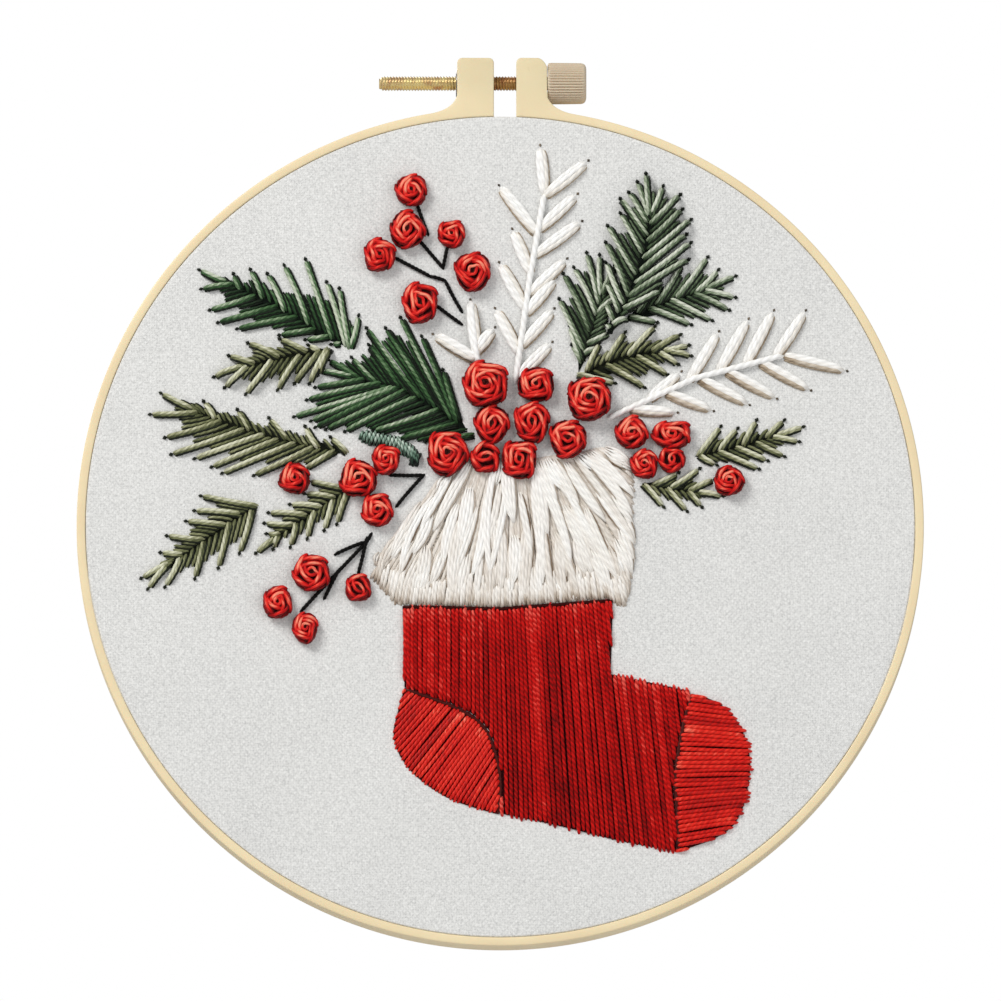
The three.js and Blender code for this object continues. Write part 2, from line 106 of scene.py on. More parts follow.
def add_studio():
    scene = bpy.context.scene
    scene.view_settings.view_transform = "Standard"
    world = bpy.data.worlds.new("studio")
    scene.world = world
    world.use_nodes = True
    nodes, links = world.node_tree.nodes, world.node_tree.links
    nodes.clear()
    out = nodes.new("ShaderNodeOutputWorld")
    mix = nodes.new("ShaderNodeMixShader")
    seen = nodes.new("ShaderNodeBackground")
    seen.inputs["Color"].default_value = (1, 1, 1, 1)
    lit = nodes.new("ShaderNodeBackground")
    lit.inputs["Color"].default_value = (1, 1, 1, 1)
    lit.inputs["Strength"].default_value = 0.4
    path = nodes.new("ShaderNodeLightPath")
    links.new(path.outputs["Is Camera Ray"], mix.inputs["Fac"])
    links.new(lit.outputs[0], mix.inputs[1])
    links.new(seen.outputs[0], mix.inputs[2])
    links.new(mix.outputs[0], out.inputs["Surface"])
    add_light("key", (-0.98, -1.24, 0.98), 0.78, 24.7, (1, 0.99, 0.97))
    add_light("fill", (0.9, -1.1, -0.15), 1.2, 5.5, (0.97, 0.98, 1))
    add_light("back_left", (-0.9, 1.1, 0.5), 0.9, 12, (1, 1, 1))
    floor_mesh = bpy.data.meshes.new("floor")
    half = 4
    floor_mesh.from_pydata([(-half, -half, 0), (half, -half, 0), (half, half, 0), (-half, half, 0)], [], [(0, 1, 2, 3)])
    floor = bpy.data.objects.new("floor", floor_mesh)
    floor.location.z = -1.2
    scene.collection.objects.link(floor)
    pale = bpy.data.materials.new("floor_pale")
    pale.use_nodes = True
    shader = pale.node_tree.nodes["Principled BSDF"]
    shader.inputs["Base Color"].default_value = (0.86, 0.86, 0.86, 1)
    shader.inputs["Roughness"].default_value = 0.9
    floor_mesh.materials.append(pale)


# ---------------------------------------------------------------- materials


def linear(red, green, blue):
    """A colour given from 0 to 255 as the linear values that shaders use."""
    values = np.array([red, green, blue]) / 255
    low, high = values / 12.92, ((values + 0.055) / 1.055) ** 2.4
    return (*np.where(values <= 0.04045, low, high), 1)


class Shade:
    """A node material in the making, around its Principled shader."""

    def __init__(self, name, **settings):
        self.material = bpy.data.materials.new(name)
        self.material.use_nodes = True
        self.nodes = self.material.node_tree.nodes
        self.links = self.material.node_tree.links
        self.shader = self.nodes["Principled BSDF"]
        for socket, value in settings.items():
            self.shader.inputs[socket.replace("_", " ")].default_value = value

    def node(self, kind, **settings):
        node = self.nodes.new("ShaderNode" + kind)
        for key, value in settings.items():
            setattr(node, key, value)
        return node

    def put(self, node, values):
        """Links or sets each input: a value is a socket or a plain value."""
        for key, value in values.items():
            if isinstance(value, bpy.types.NodeSocket):
                self.links.new(value, node.inputs[key])
            else:
                node.inputs[key].default_value = value

    def attribute(self, name, output="Fac"):
        return self.node("Attribute", attribute_name=name).outputs[output]

    def place(self):
        return self.node("TexCoord").outputs["Object"]

    def math(self, operation, a, b=0.0, clamp=False):
        node = self.node("Math", operation=operation, use_clamp=clamp)
        self.put(node, {0: a, 1: b})
        return node.outputs[0]

    def noise(self, vector, scale, detail=2.0, roughness=0.5):
        node = self.node("TexNoise")
        self.put(node, {"Vector": vector, "Scale": scale, "Detail": detail, "Roughness": roughness})
        return node.outputs["Fac"]

    def ramp(self, factor, stops):
        node = self.node("ValToRGB")
        self.put(node, {"Fac": factor})
        marks = node.color_ramp.elements
        while len(marks) < len(stops):
            marks.new(0.5)
        for mark, (spot, color) in zip(marks, stops):
            mark.position = spot
            mark.color = color
        return node.outputs["Color"]

    def mix(self, factor, a, b, blend="MIX"):
        node = self.node("Mix", data_type="RGBA", blend_type=blend)
        self.put(node, {0: factor, 6: a, 7: b})
        return node.outputs[2]

    def bump(self, height, strength, distance, normal=None):
        node = self.node("Bump")
        self.put(node, {"Height": height, "Strength": strength, "Distance": distance})
        if normal is not None:
            self.put(node, {"Normal": normal})
        return node.outputs["Normal"]

    def wire(self, **outputs):
        for socket, value in outputs.items():
            self.put(self.shader, {socket.replace("_", " "): value})
        return self.material


def thread_material(name, stops, roughness=0.5, streaks=0.32, groove=0.5, specular=0.3, tint=(1, 1, 1), flecks=0.12):
    """Twisted cotton: its tone runs along the ramp, with fine fibres, painted highlight on the ply ridges and painted
    shade in the grooves between the plies.
    """
    shade = Shade(name, Sheen_Weight=0.04, Sheen_Roughness=0.5, Specular_IOR_Level=specular, Specular_Tint=(*tint, 1))
    fine = shade.noise(shade.attribute("fibre", "Vector"), 2.6, 4.0, 0.65)
    broad = shade.noise(shade.place(), 160, 2.0)
    spread = shade.math("MULTIPLY", shade.math("SUBTRACT", fine, 0.5), streaks * 2)
    drift = shade.math("MULTIPLY", shade.math("SUBTRACT", broad, 0.5), 0.3)
    ply = shade.attribute("ply")
    # painted highlight on the ply ridges and painted shade in their grooves
    spread = shade.math("ADD", spread, shade.math("MULTIPLY", shade.math("SUBTRACT", ply, 0.55), flecks * 2))
    tone = shade.math("ADD", shade.attribute("tone"), shade.math("ADD", spread, drift), True)
    color = shade.ramp(tone, [(spot, linear(*rgb)) for spot, rgb in stops])
    # painted shade: the colour is multiplied darker in the grooves between the plies
    depth = shade.math("ADD", shade.math("MULTIPLY", ply, groove), 1 - groove, True)
    dark = shade.mix(1.0, color, shade.ramp(depth, [(0, (0, 0, 0, 1)), (1, (1, 1, 1, 1))]), "MULTIPLY")
    gloss = shade.math("ADD", shade.math("MULTIPLY", fine, 0.3), roughness - 0.15)
    return shade.wire(Base_Color=dark, Roughness=gloss, Normal=shade.bump(fine, 0.5, 0.00012))


def painted_shade_ramp(shade, axis, start, end, rgb):
    """A wash of linear colour that grows along one axis from start to end, in metres: painted shade."""
    axes = shade.node("SeparateXYZ")
    shade.put(axes, {0: shade.place()})
    share = shade.math("DIVIDE", shade.math("SUBTRACT", axes.outputs[axis], start), end - start, True)
    return shade.ramp(share, [(0, (1, 1, 1, 1)), (1, (*rgb, 1))])


def hoop_material(name, rgb, edge, roughness):
    """Moulded plastic: faint clouding, fine surface grain and small scuffs, and painted shade that makes it a little
    darker towards the top, over the lugs.
    """
    shade = Shade(name, Specular_IOR_Level=0.45, Subsurface_Weight=0.05, Subsurface_Scale=0.002)
    place = shade.place()
    cloud = shade.noise(place, 45, 3.0)
    grain = shade.noise(place, 1500, 3.0, 0.6)
    scuff = shade.noise(place, 320, 5.0, 0.75)
    color = shade.ramp(cloud, [(0.3, linear(*edge)), (0.62, linear(*rgb))])
    marks = shade.ramp(scuff, [(0.62, (1, 1, 1, 1)), (0.75, (0.9, 0.88, 0.84, 1))])
    color = shade.mix(1.0, color, marks, "MULTIPLY")
    # painted shade: darker from 97 mm to 106 mm above the hoop's centre, over the lugs
    color = shade.mix(1.0, color, painted_shade_ramp(shade, "Z", CENTRE_Z + 0.097, CENTRE_Z + 0.106, (0.9, 0.92, 0.915)), "MULTIPLY")
    gloss = shade.math("ADD", shade.math("MULTIPLY", scuff, 0.25), roughness - 0.1)
    normal = shade.bump(grain, 0.25, 0.00005)
    return shade.wire(Base_Color=color, Roughness=gloss, Normal=normal)


def metal_material(name, light, dull, roughness, metallic=1.0):
    """Rolled metal: tarnish in patches, fine scratches and uneven gloss, and painted shade towards the gap between the
    lugs.
    """
    shade = Shade(name, Metallic=metallic)
    place = shade.place()
    tarnish = shade.noise(place, 500, 3.0, 0.5)
    scratch = shade.noise(place, 4000, 2.0)
    color = shade.ramp(tarnish, [(0.3, linear(*dull)), (0.58, linear(*light))])
    # painted shade: darker from 13 mm to 1 mm left of the hoop's centre, and fully darkened right of that
    color = shade.mix(1.0, color, painted_shade_ramp(shade, "X", CENTRE_X - 0.013, CENTRE_X - 0.001, (0.62, 0.46, 0.36)), "MULTIPLY")
    gloss = shade.math("ADD", shade.math("MULTIPLY", tarnish, 0.2), roughness - 0.1)
    normal = shade.bump(scratch, 0.15, 0.00002)
    return shade.wire(Base_Color=color, Roughness=gloss, Normal=normal)


def linen_material():
    """Plain-woven linen: two crossing yarns that wander, slubs, and a fine mottle."""
    shade = Shade("linen_weave", Sheen_Weight=0.1, Sheen_Roughness=0.5, Specular_IOR_Level=0.2)
    place = shade.place()
    wander = shade.math("MULTIPLY", shade.math("SUBTRACT", shade.noise(place, 620, 3.0, 0.6), 0.5), 7)
    axes = shade.node("SeparateXYZ")
    shade.put(axes, {0: place})
    pitch = 0.0006
    across, upward = [
        shade.math("SINE", shade.math("ADD", shade.math("MULTIPLY", axes.outputs[axis], math.pi / pitch), wander))
        for axis in ("X", "Z")
    ]
    over = shade.math("ADD", shade.math("MULTIPLY", shade.math("MULTIPLY", across, upward), 0.5), 0.5)
    rounds = shade.math("MAXIMUM", shade.math("ABSOLUTE", across), shade.math("ABSOLUTE", upward))
    cloth = shade.math("MULTIPLY", rounds, shade.math("ADD", shade.math("MULTIPLY", over, 0.5), 0.5))
    slub = shade.noise(place, 2300, 2.0, 0.6)
    mottle = shade.noise(place, 1200, 2.0, 0.6)
    cloud = shade.noise(place, 40, 3.0)
    level = shade.math("ADD", shade.math("MULTIPLY", cloth, 0.22), shade.math("MULTIPLY", slub, 0.5))
    level = shade.math("ADD", level, shade.math("MULTIPLY", mottle, 0.5))
    level = shade.math("ADD", level, shade.math("MULTIPLY", cloud, 0.1))
    color = shade.ramp(level, [(0.42, linear(186, 186, 185)), (0.68, linear(218, 218, 216)), (0.92, linear(240, 240, 238))])
    normal = shade.bump(cloth, 0.5, 0.0001, shade.bump(slub, 0.5, 0.00015))
    return shade.wire(Base_Color=color, Roughness=0.92, Normal=normal)


WHITE_STOPS = [(0, (66, 58, 48)), (0.1, (150, 130, 106)), (0.24, (194, 178, 156)), (0.5, (236, 230, 220)), (0.8, (252, 250, 246)), (1, (255, 255, 253))]
CREAM_STOPS = [(0, (128, 106, 84)), (0.25, (196, 182, 166)), (0.5, (233, 226, 217)), (0.8, (250, 247, 242)), (1, (255, 254, 251))]
DEEP_RED_STOPS = [(0, (50, 0, 0)), (0.3, (128, 2, 5)), (0.6, (191, 8, 8)), (0.85, (221, 28, 23)), (1, (240, 100, 86))]
BRIGHT_RED_STOPS = [(0, (64, 0, 0)), (0.3, (158, 3, 5)), (0.6, (218, 18, 11)), (0.85, (240, 50, 34)), (1, (254, 128, 104))]
BERRY_STOPS = [(0, (38, 4, 2)), (0.25, (124, 1, 8)), (0.55, (206, 13, 17)), (0.8, (240, 52, 42)), (1, (255, 150, 122))]
PINE_STOPS = [(0, (5, 8, 5)), (0.2, (14, 28, 14)), (0.42, (34, 64, 34)), (0.64, (70, 106, 64)), (0.84, (136, 158, 124)), (1, (204, 212, 190))]
SPRUCE_STOPS = [(0, (5, 7, 5)), (0.2, (24, 33, 21)), (0.42, (62, 80, 54)), (0.64, (112, 128, 100)), (0.84, (172, 182, 158)), (1, (220, 224, 208))]
OLIVE_STOPS = [(0, (10, 11, 6)), (0.22, (46, 50, 28)), (0.45, (94, 98, 64)), (0.66, (138, 140, 102)), (0.84, (182, 182, 148)), (1, (222, 222, 196))]
TEAL_STOPS = [(0, (8, 14, 10)), (0.25, (36, 60, 48)), (0.5, (94, 128, 108)), (0.75, (156, 184, 166)), (1, (220, 232, 220))]
BLACK_STOPS = [(0, (6, 5, 5)), (0.5, (14, 13, 12)), (1, (56, 52, 48))]


# ---------------------------------------------------------------- meshes


def add_object(name, points, faces, material, smooth=True):
    """A mesh object from points in the row frame."""
    mesh = bpy.data.meshes.new(name)
    mesh.from_pydata(np.asarray(points).tolist(), [], [list(map(int, face)) for face in faces])
    mesh.polygons.foreach_set("use_smooth", np.full(len(mesh.polygons), smooth))
    mesh.materials.append(material)
    mesh.update()
    thing = bpy.data.objects.new(name, mesh)
    bpy.context.scene.collection.objects.link(thing)
    return thing


def sheet_faces(rows, columns, closed=True):
    """Quads of a grid of points, whose columns may close into a ring."""
    row, column = np.meshgrid(np.arange(rows - 1), np.arange(columns if closed else columns - 1), indexing="ij")
    after = (column + 1) % columns
    corners = [row * columns + column, (row + 1) * columns + column, (row + 1) * columns + after, row * columns + after]
    return np.stack(corners, -1).reshape(-1, 4)


CAPS = {
    8: [(0, 1, 2, 3), (0, 3, 4, 7), (4, 5, 6, 7)],
    6: [(0, 1, 2, 3), (0, 3, 4, 5)],
}


class Stitches:
    """The threads of one motif, gathered into one mesh."""

    def __init__(self):
        self.points, self.faces, self.tone, self.ply, self.fibre = [], [], [], [], []
        self.count = 0

    def thread(self, path, radius, tone, pitch=2.6, plies=0.14, floor=-0.35, dive=(True, True), step=0.32, sides=8, taper=0.3, point=0.8):
        """A twisted thread along path, rows of across, up and height. It dives to floor at the ends where it goes through the linen."""
        path = np.asarray(path, float)
        along = np.concatenate([[0], np.cumsum(np.linalg.norm(np.diff(path, axis=0), axis=1))])
        length = along[-1]
        rings = max(6, int(length / step) + 1)
        s = np.linspace(0, length, rings)
        p = np.column_stack([np.interp(s, along, path[:, k]) for k in range(3)])
        near = np.minimum(s if dive[0] else np.full(rings, 9.0), length - s if dive[1] else np.full(rings, 9.0))
        p[:, 2] = floor + (p[:, 2] - floor) * (1 - np.exp(-((near / 0.75) ** 2)))
        tangent = np.gradient(p, axis=0)
        tangent /= np.linalg.norm(tangent, axis=1)[:, None]
        side = np.cross(tangent, [0, 0, 1])
        side /= np.maximum(np.linalg.norm(side, axis=1), 1e-9)[:, None]
        lift = np.cross(side, tangent)
        angle = np.arange(sides) * 2 * np.pi / sides
        turn = angle[None, :] - (2 * np.pi * s / pitch + rng.uniform(0, 6.28))[:, None]
        ridge = np.cos(2 * turn)
        width = (radius * (1 - taper * np.exp(-((near / point) ** 2))))[:, None] * (1 + plies * ridge)
        ring = p[:, None, :] + width[..., None] * (
            np.cos(angle)[None, :, None] * side[:, None, :] + np.sin(angle)[None, :, None] * lift[:, None, :]
        )
        self.points.append(ring.reshape(-1, 3))
        self.faces += (sheet_faces(rings, sides) + self.count).tolist()
        last = self.count + (rings - 1) * sides
        self.faces += [[self.count + i for i in cap] for cap in CAPS[sides]]
        self.faces += [[last + i for i in reversed(cap)] for cap in CAPS[sides]]
        tones = tone if np.ndim(tone) == 0 else np.interp(s / length, np.linspace(0, 1, len(tone)), tone)
        self.tone.append(np.repeat(np.broadcast_to(tones, rings), sides))
        self.ply.append((0.5 + 0.5 * ridge).ravel())
        seed = rng.uniform(-50, 50)
        fibre = np.stack([np.cos(turn), np.sin(turn), np.broadcast_to((s * 0.35 + seed)[:, None], turn.shape)], -1)
        self.fibre.append(fibre.reshape(-1, 3))
        self.count += rings * sides

    def knot(self, x, z, radius, tone, height=0.15, along=(1.0, 0.0), stretch=1.0):
        """A small round end of thread where the needle goes in, dark as painted shade for the hole."""
        reach = radius * stretch
        path = [[x - along[0] * reach, z - along[1] * reach, height], [x, z, height + 0.12], [x + along[0] * reach, z + along[1] * reach, height]]
        self.thread(path, radius, tone, floor=height - 0.12, step=radius * 0.3, taper=0.8, point=radius * 0.7)

    def back(self, a, b, radius, tone):
        """A stitch on the linen's reverse."""
        self.thread(straight(a, b, -0.78, rng.uniform(-0.3, 0.3), -0.1), radius, tone, floor=-0.3, step=0.9, sides=6)

    def finish(self, name, material, node):
        points = placed(np.concatenate(self.points))
        thing = add_object(name, points, self.faces, material)
        mesh = thing.data
        for key, kind, values in (
            ("tone", "FLOAT", np.concatenate(self.tone)),
            ("ply", "FLOAT", np.concatenate(self.ply)),
            ("fibre", "FLOAT_VECTOR", np.concatenate(self.fibre)),
        ):
            field = mesh.attributes.new(key, kind, "POINT")
            target = "vector" if kind == "FLOAT_VECTOR" else "value"
            field.data.foreach_set(target, values.astype(np.float32).ravel())
        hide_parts(node)
        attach(thing, PANEL)
        return thing


def heights(node):
    """How far the node's back and front stand off the linen, in millimetres."""
    low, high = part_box(node)
    return (LINEN_Y - high.y) / MM, (LINEN_Y - low.y) / MM


def outline(node):
    """The node's front outline, anticlockwise, in millimetres."""
    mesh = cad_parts[node].data
    co = np.array([v.co for v in mesh.vertices])
    spots, same = np.unique(np.round(co, 6), axis=0, return_inverse=True)
    same = same.reshape(-1)
    edges = set()
    for face in mesh.polygons:
        if face.normal.y < -0.9:
            ring = [int(same[v]) for v in face.vertices]
            edges.update(zip(ring, ring[1:] + ring[:1]))
    rim = dict(edge for edge in edges if edge[::-1] not in edges)
    order = [min(rim)]
    while rim[order[-1]] != order[0]:
        order.append(rim[order[-1]])
    flat = spots[order]
    return np.column_stack([flat[:, 0] - CENTRE_X, flat[:, 2] - CENTRE_Z]) / MM


def inside(points, polygon):
    """Which of the points lie inside the polygon."""
    points = np.atleast_2d(points)
    hit = np.zeros(len(points), bool)
    for (x1, z1), (x2, z2) in zip(polygon, np.roll(polygon, -1, axis=0)):
        crosses = (z1 > points[:, 1]) != (z2 > points[:, 1])
        with np.errstate(divide="ignore", invalid="ignore"):
            at = x1 + (points[:, 1] - z1) / (z2 - z1) * (x2 - x1)
        hit ^= crosses & (points[:, 0] < at)
    return hit


def spans(start, direction, polygon):
    """Where the line from start along direction runs inside the polygon, as pairs of distances."""
    cuts = []
    d = np.asarray(direction, float)
    for a, b in zip(polygon, np.roll(polygon, -1, axis=0)):
        edge = b - a
        det = d[0] * edge[1] - d[1] * edge[0]
        if abs(det) < 1e-12:
            continue
        gap = a - start
        t = (gap[0] * edge[1] - gap[1] * edge[0]) / det
        u = (gap[0] * d[1] - gap[1] * d[0]) / det
        if 0 <= u < 1:
            cuts.append(t)
    cuts.sort()
    return list(zip(cuts[::2], cuts[1::2]))


def shrunk(polygon, by):
    """The polygon with each side moved inwards."""
    before, after = polygon - np.roll(polygon, 1, axis=0), np.roll(polygon, -1, axis=0) - polygon
    inward = []
    for side in (before, after):
        side = side / np.linalg.norm(side, axis=1)[:, None]
        inward.append(np.column_stack([-side[:, 1], side[:, 0]]))
    total = inward[0] + inward[1]
    scale = np.maximum(1 + (inward[0] * inward[1]).sum(1), 0.5)
    return polygon + by * total / scale[:, None]


def add_padding(name, polygon, low, high, material, by=0.35):
    """The flat padding sheet that a motif's threads lie on; a dark one is painted shade in the gaps between the
    threads.
    """
    front = shrunk(polygon, by)
    back = shrunk(polygon, by * 0.6)
    count = len(polygon)
    points = np.concatenate(
        [np.column_stack([back, np.full(count, low)]), np.column_stack([front, np.full(count, high)])]
    )
    faces = [[i, (i + 1) % count, count + (i + 1) % count, count + i] for i in range(count)]
    faces += [list(range(count, 2 * count)), list(range(count))[::-1]]
    thing = add_object(name, placed(points), faces, material, smooth=False)
    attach(thing, PANEL)
    return thing


# ---------------------------------------------------------------- sprigs, fronds and stems


def branches(points, dip):
    """A sprig's base, its needle tips and each needle's root, from its toothed outline."""
    side = np.roll(points, -1, axis=0) - points
    before = np.roll(side, 1, axis=0)
    convex = before[:, 0] * side[:, 1] - before[:, 1] * side[:, 0] > 0
    apex = convex & np.roll(convex, 1) & np.roll(convex, -1)
    reach = np.linalg.norm(points - points.mean(0), axis=1) * apex
    ring = np.roll(points, -int(reach.argmax()), axis=0)
    tips, valleys = ring[1::2], ring[2::2]
    spine = (valleys - (1 - dip) * (tips[:-1] + tips[1:]) / 2) / dip
    first = spine[0] + (spine[0] - spine[1]) / 2
    last = spine[-1] + (spine[-1] - spine[-2]) / 2
    roots = np.vstack([first, (spine[:-1] + spine[1:]) / 2, last])
    return ring[0], tips, roots, spine


def straight(a, b, height, bow=0.0, rise=0.0):
    """A path from a to b, bowed to its left and humped upwards by the given amounts."""
    t = np.linspace(0, 1, 9)
    a, b = np.asarray(a, float), np.asarray(b, float)
    run = b - a
    left = np.array([-run[1], run[0]]) / max(np.linalg.norm(run), 1e-6)
    hump = np.sin(np.pi * t)
    flat = a + run * t[:, None] + left * (bow * hump)[:, None]
    return np.column_stack([flat, height + rise * hump])


SHADOW_SIDE = np.array([0.55, -0.83])


def frame_of(tip, root):
    """A needle's direction, its length, and the side of it away from the light."""
    run = tip - root
    length = np.linalg.norm(run)
    run = run / length
    left = np.array([-run[1], run[0]])
    return run, length, left * (1 if left @ SHADOW_SIDE > 0 else -1)


def end_needles(base, tip, root, gap):
    """Shorter needles between the sprig's base and its first or last needle."""
    run, _, away = frame_of(tip, root)
    count = int(abs((base - root) @ away) / gap)
    shares = (np.arange(count) + 0.7) / (count + 0.7)
    return [(base + (tip - base) * s, base + (root - base) * s) for s in shares]


def add_sprig(node, stops, slot, tone=0.62, fill_tone=0.3, fill_reach=0.62, gap=2.1, pale=None):
    """Needles side by side from the spine to the tips, each with a black line on its shadow side that is painted shade.
    """
    low, high = heights(node)
    height = (low + high) / 2 - 0.1
    points = outline(node)
    base, tips, roots, spine = branches(points, 0.4)
    needles = end_needles(base, tips[0], roots[0], gap) + list(zip(tips, roots))
    needles += end_needles(base, tips[-1], roots[-1], gap)[::-1]
    stitches = Stitches()
    for i, (tip, root) in enumerate(needles):
        run, length, away = frame_of(tip, root)
        if length < 1.8:
            continue
        light = tone + rng.uniform(-0.1, 0.16)
        if pale is not None and pale(tip, root):
            light += 0.2
        bow = rng.uniform(-0.3, 0.3)
        start = root - run * rng.uniform(0.1, 0.7)
        lift = height + rng.uniform(0.0, 0.16)
        # painted highlight on the strand towards the light, painted shade on the strand away from it
        for offset, shift in ((-0.32, 0.2), (0.32, -0.14)):
            level = light + shift + rng.uniform(-0.05, 0.05)
            ends = start + away * offset, tip + away * offset * 0.7 - run * 0.2
            shades = [level - 0.24, level - 0.06, level + 0.08, level + 0.04, level - 0.14]
            stitches.thread(straight(*ends, lift + 0.4 * shift, bow, 0.14), 0.4, shades, pitch=3.6, plies=0.07)
        # a black line along the shadow side and a black dot at the tip: painted shade beside the needle and in the
        # needle's hole
        line = straight(start + away * 0.84, tip + away * 0.66 - run * 0.4, lift, bow)
        stitches.thread(line, 0.35, 0.0, step=0.4, sides=6)
        stitches.knot(tip[0] + run[0] * 0.2, tip[1] + run[1] * 0.2, 0.52, 0.0, 0.3, run, 1.1)
        if i == len(needles) - 1:
            continue
        other_tip, other_root = needles[i + 1]
        stitches.back(tip, other_root, 0.34, fill_tone)
        spacing = abs(((tip + root) / 2 - (other_tip + other_root) / 2) @ away)
        fill = int(round((spacing - 1.7) / 0.9))
        for k in range(fill):
            share = (k + 1) / (fill + 1)
            start = root + (other_root - root) * share - run * rng.uniform(0, 0.5)
            end = tip + (other_tip - tip) * share
            end = start + (end - start) * (fill_reach + rng.uniform(-0.08, 0.1))
            shade = fill_tone + rng.uniform(-0.1, 0.14) + (0.16 if pale is not None and pale(tip, root) else 0)
            stitches.thread(straight(start, end, lift - 0.12, bow), 0.37, [shade - 0.1, shade + 0.04, shade + 0.12], pitch=3.6, plies=0.07, step=0.4, sides=6)
            # a thin black line beside each filling thread: painted shade
            stitches.thread(straight(start + away * 0.55, end + away * 0.5, lift - 0.16, bow), 0.22, 0.0, step=0.5, sides=6)
    floss = thread_material(node + "_thread", stops, 0.45, 0.4, 0.25, 0.2, (0.85, 1, 0.8), 0.05)
    thing = stitches.finish(node + "_stitches", floss, node)
    # a dark padding sheet under the needles' inner part: painted shade in the gaps between them
    core = np.array([base] + [root + (tip - root) * 0.34 for tip, root in needles])
    add_padding(node + "_padding", core, 0.02, height - 0.35, SHADOWS[slot], 0.0)
    return thing


def add_wrapped_sprig(node):
    """A short band of close cross stitches that ends in a dark tip."""
    low, high = heights(node)
    height = (low + high) / 2
    line = in_box(node, [(0.05, 0.75), (0.31, 0.64), (0.56, 0.54), (0.78, 0.35), (0.9, 0.12)])
    along = np.concatenate([[0], np.cumsum(np.linalg.norm(np.diff(line, axis=0), axis=1))])
    stitches = Stitches()
    for s in np.arange(0.3, along[-1], 0.92):
        spot = np.array([np.interp(s, along, line[:, k]) for k in range(2)])
        half = 1.75 * min(1.0, 0.45 + s / 3) * rng.uniform(0.9, 1.1)
        cross = np.array([0.42, 0.91]) if s < 9 else np.array([0.15, 0.99])
        tone = 0.72 + rng.uniform(-0.12, 0.14) - 0.3 * (s > 13.2)
        ends = spot + cross * half, spot - cross * half
        stitches.thread(straight(*ends, height, 0.15, 0.3), 0.42, [tone, tone + 0.1, tone - 0.1, tone - 0.4], pitch=2.0, floor=-0.1)
        # a black thread below and right of each stitch: painted shade
        stitches.thread(straight(ends[0] + [0.45, 0], ends[1] + [0.45, -0.3], height - 0.3), 0.3, 0.0, step=0.4, sides=6)
    tip = in_box(node, [(0.9, 0.33), (0.79, 0.0)])
    stitches.thread(straight(*tip, height, 0.2), 0.5, 0.12, floor=-0.1)
    # a darker thread below and right of the tip: painted shade
    stitches.thread(straight(tip[0] + [0.9, -0.5], tip[1] + [0.6, -0.3], height - 0.1, 0.2), 0.42, 0.02, floor=-0.1)
    return stitches.finish(node + "_stitches", thread_material(node + "_thread", TEAL_STOPS, specular=0.2), node)


# The middle stitches of the two long fronds, as shares of their boxes' width and height.
FROND_SPINES = {
    "white_frond_tall": [(0.21, 0.0), (0.367, 0.432), (0.53, 0.798)],
    "white_frond_right": [(0.007, 0.0), (0.368, 0.373), (0.743, 0.592)],
}
LEAF_DROP = 9.8


def in_box(node, shares):
    """Shares of the node's box, as points across and up in millimetres from the hoop's centre."""
    low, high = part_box(node)
    left, bottom = (low.x - CENTRE_X) / MM, (low.z - CENTRE_Z) / MM
    size = np.array([high.x - low.x, high.z - low.z]) / MM
    return np.array([left, bottom]) + np.array(shares) * size


def leaf_roots(spine, tips):
    """Where each leaf leaves the spine: a little further down than its tip."""
    steps = np.concatenate([[0], np.cumsum(np.linalg.norm(np.diff(spine, axis=0), axis=1))])
    run = (spine[-1] - spine[-2]) / (steps[-1] - steps[-2])
    s = np.arange(0, steps[-1] + 20, 0.25)
    points = np.column_stack([np.interp(s, steps, spine[:, k]) for k in range(2)])
    points += np.maximum(s - steps[-1], 0)[:, None] * run
    roots = []
    for tip in tips:
        at = s[np.argmin(np.linalg.norm(points - tip, axis=1))] - LEAF_DROP
        at = np.clip(at, 0.5, steps[-1])
        roots.append([np.interp(at, steps, spine[:, k]) for k in range(2)])
    return np.array(roots)


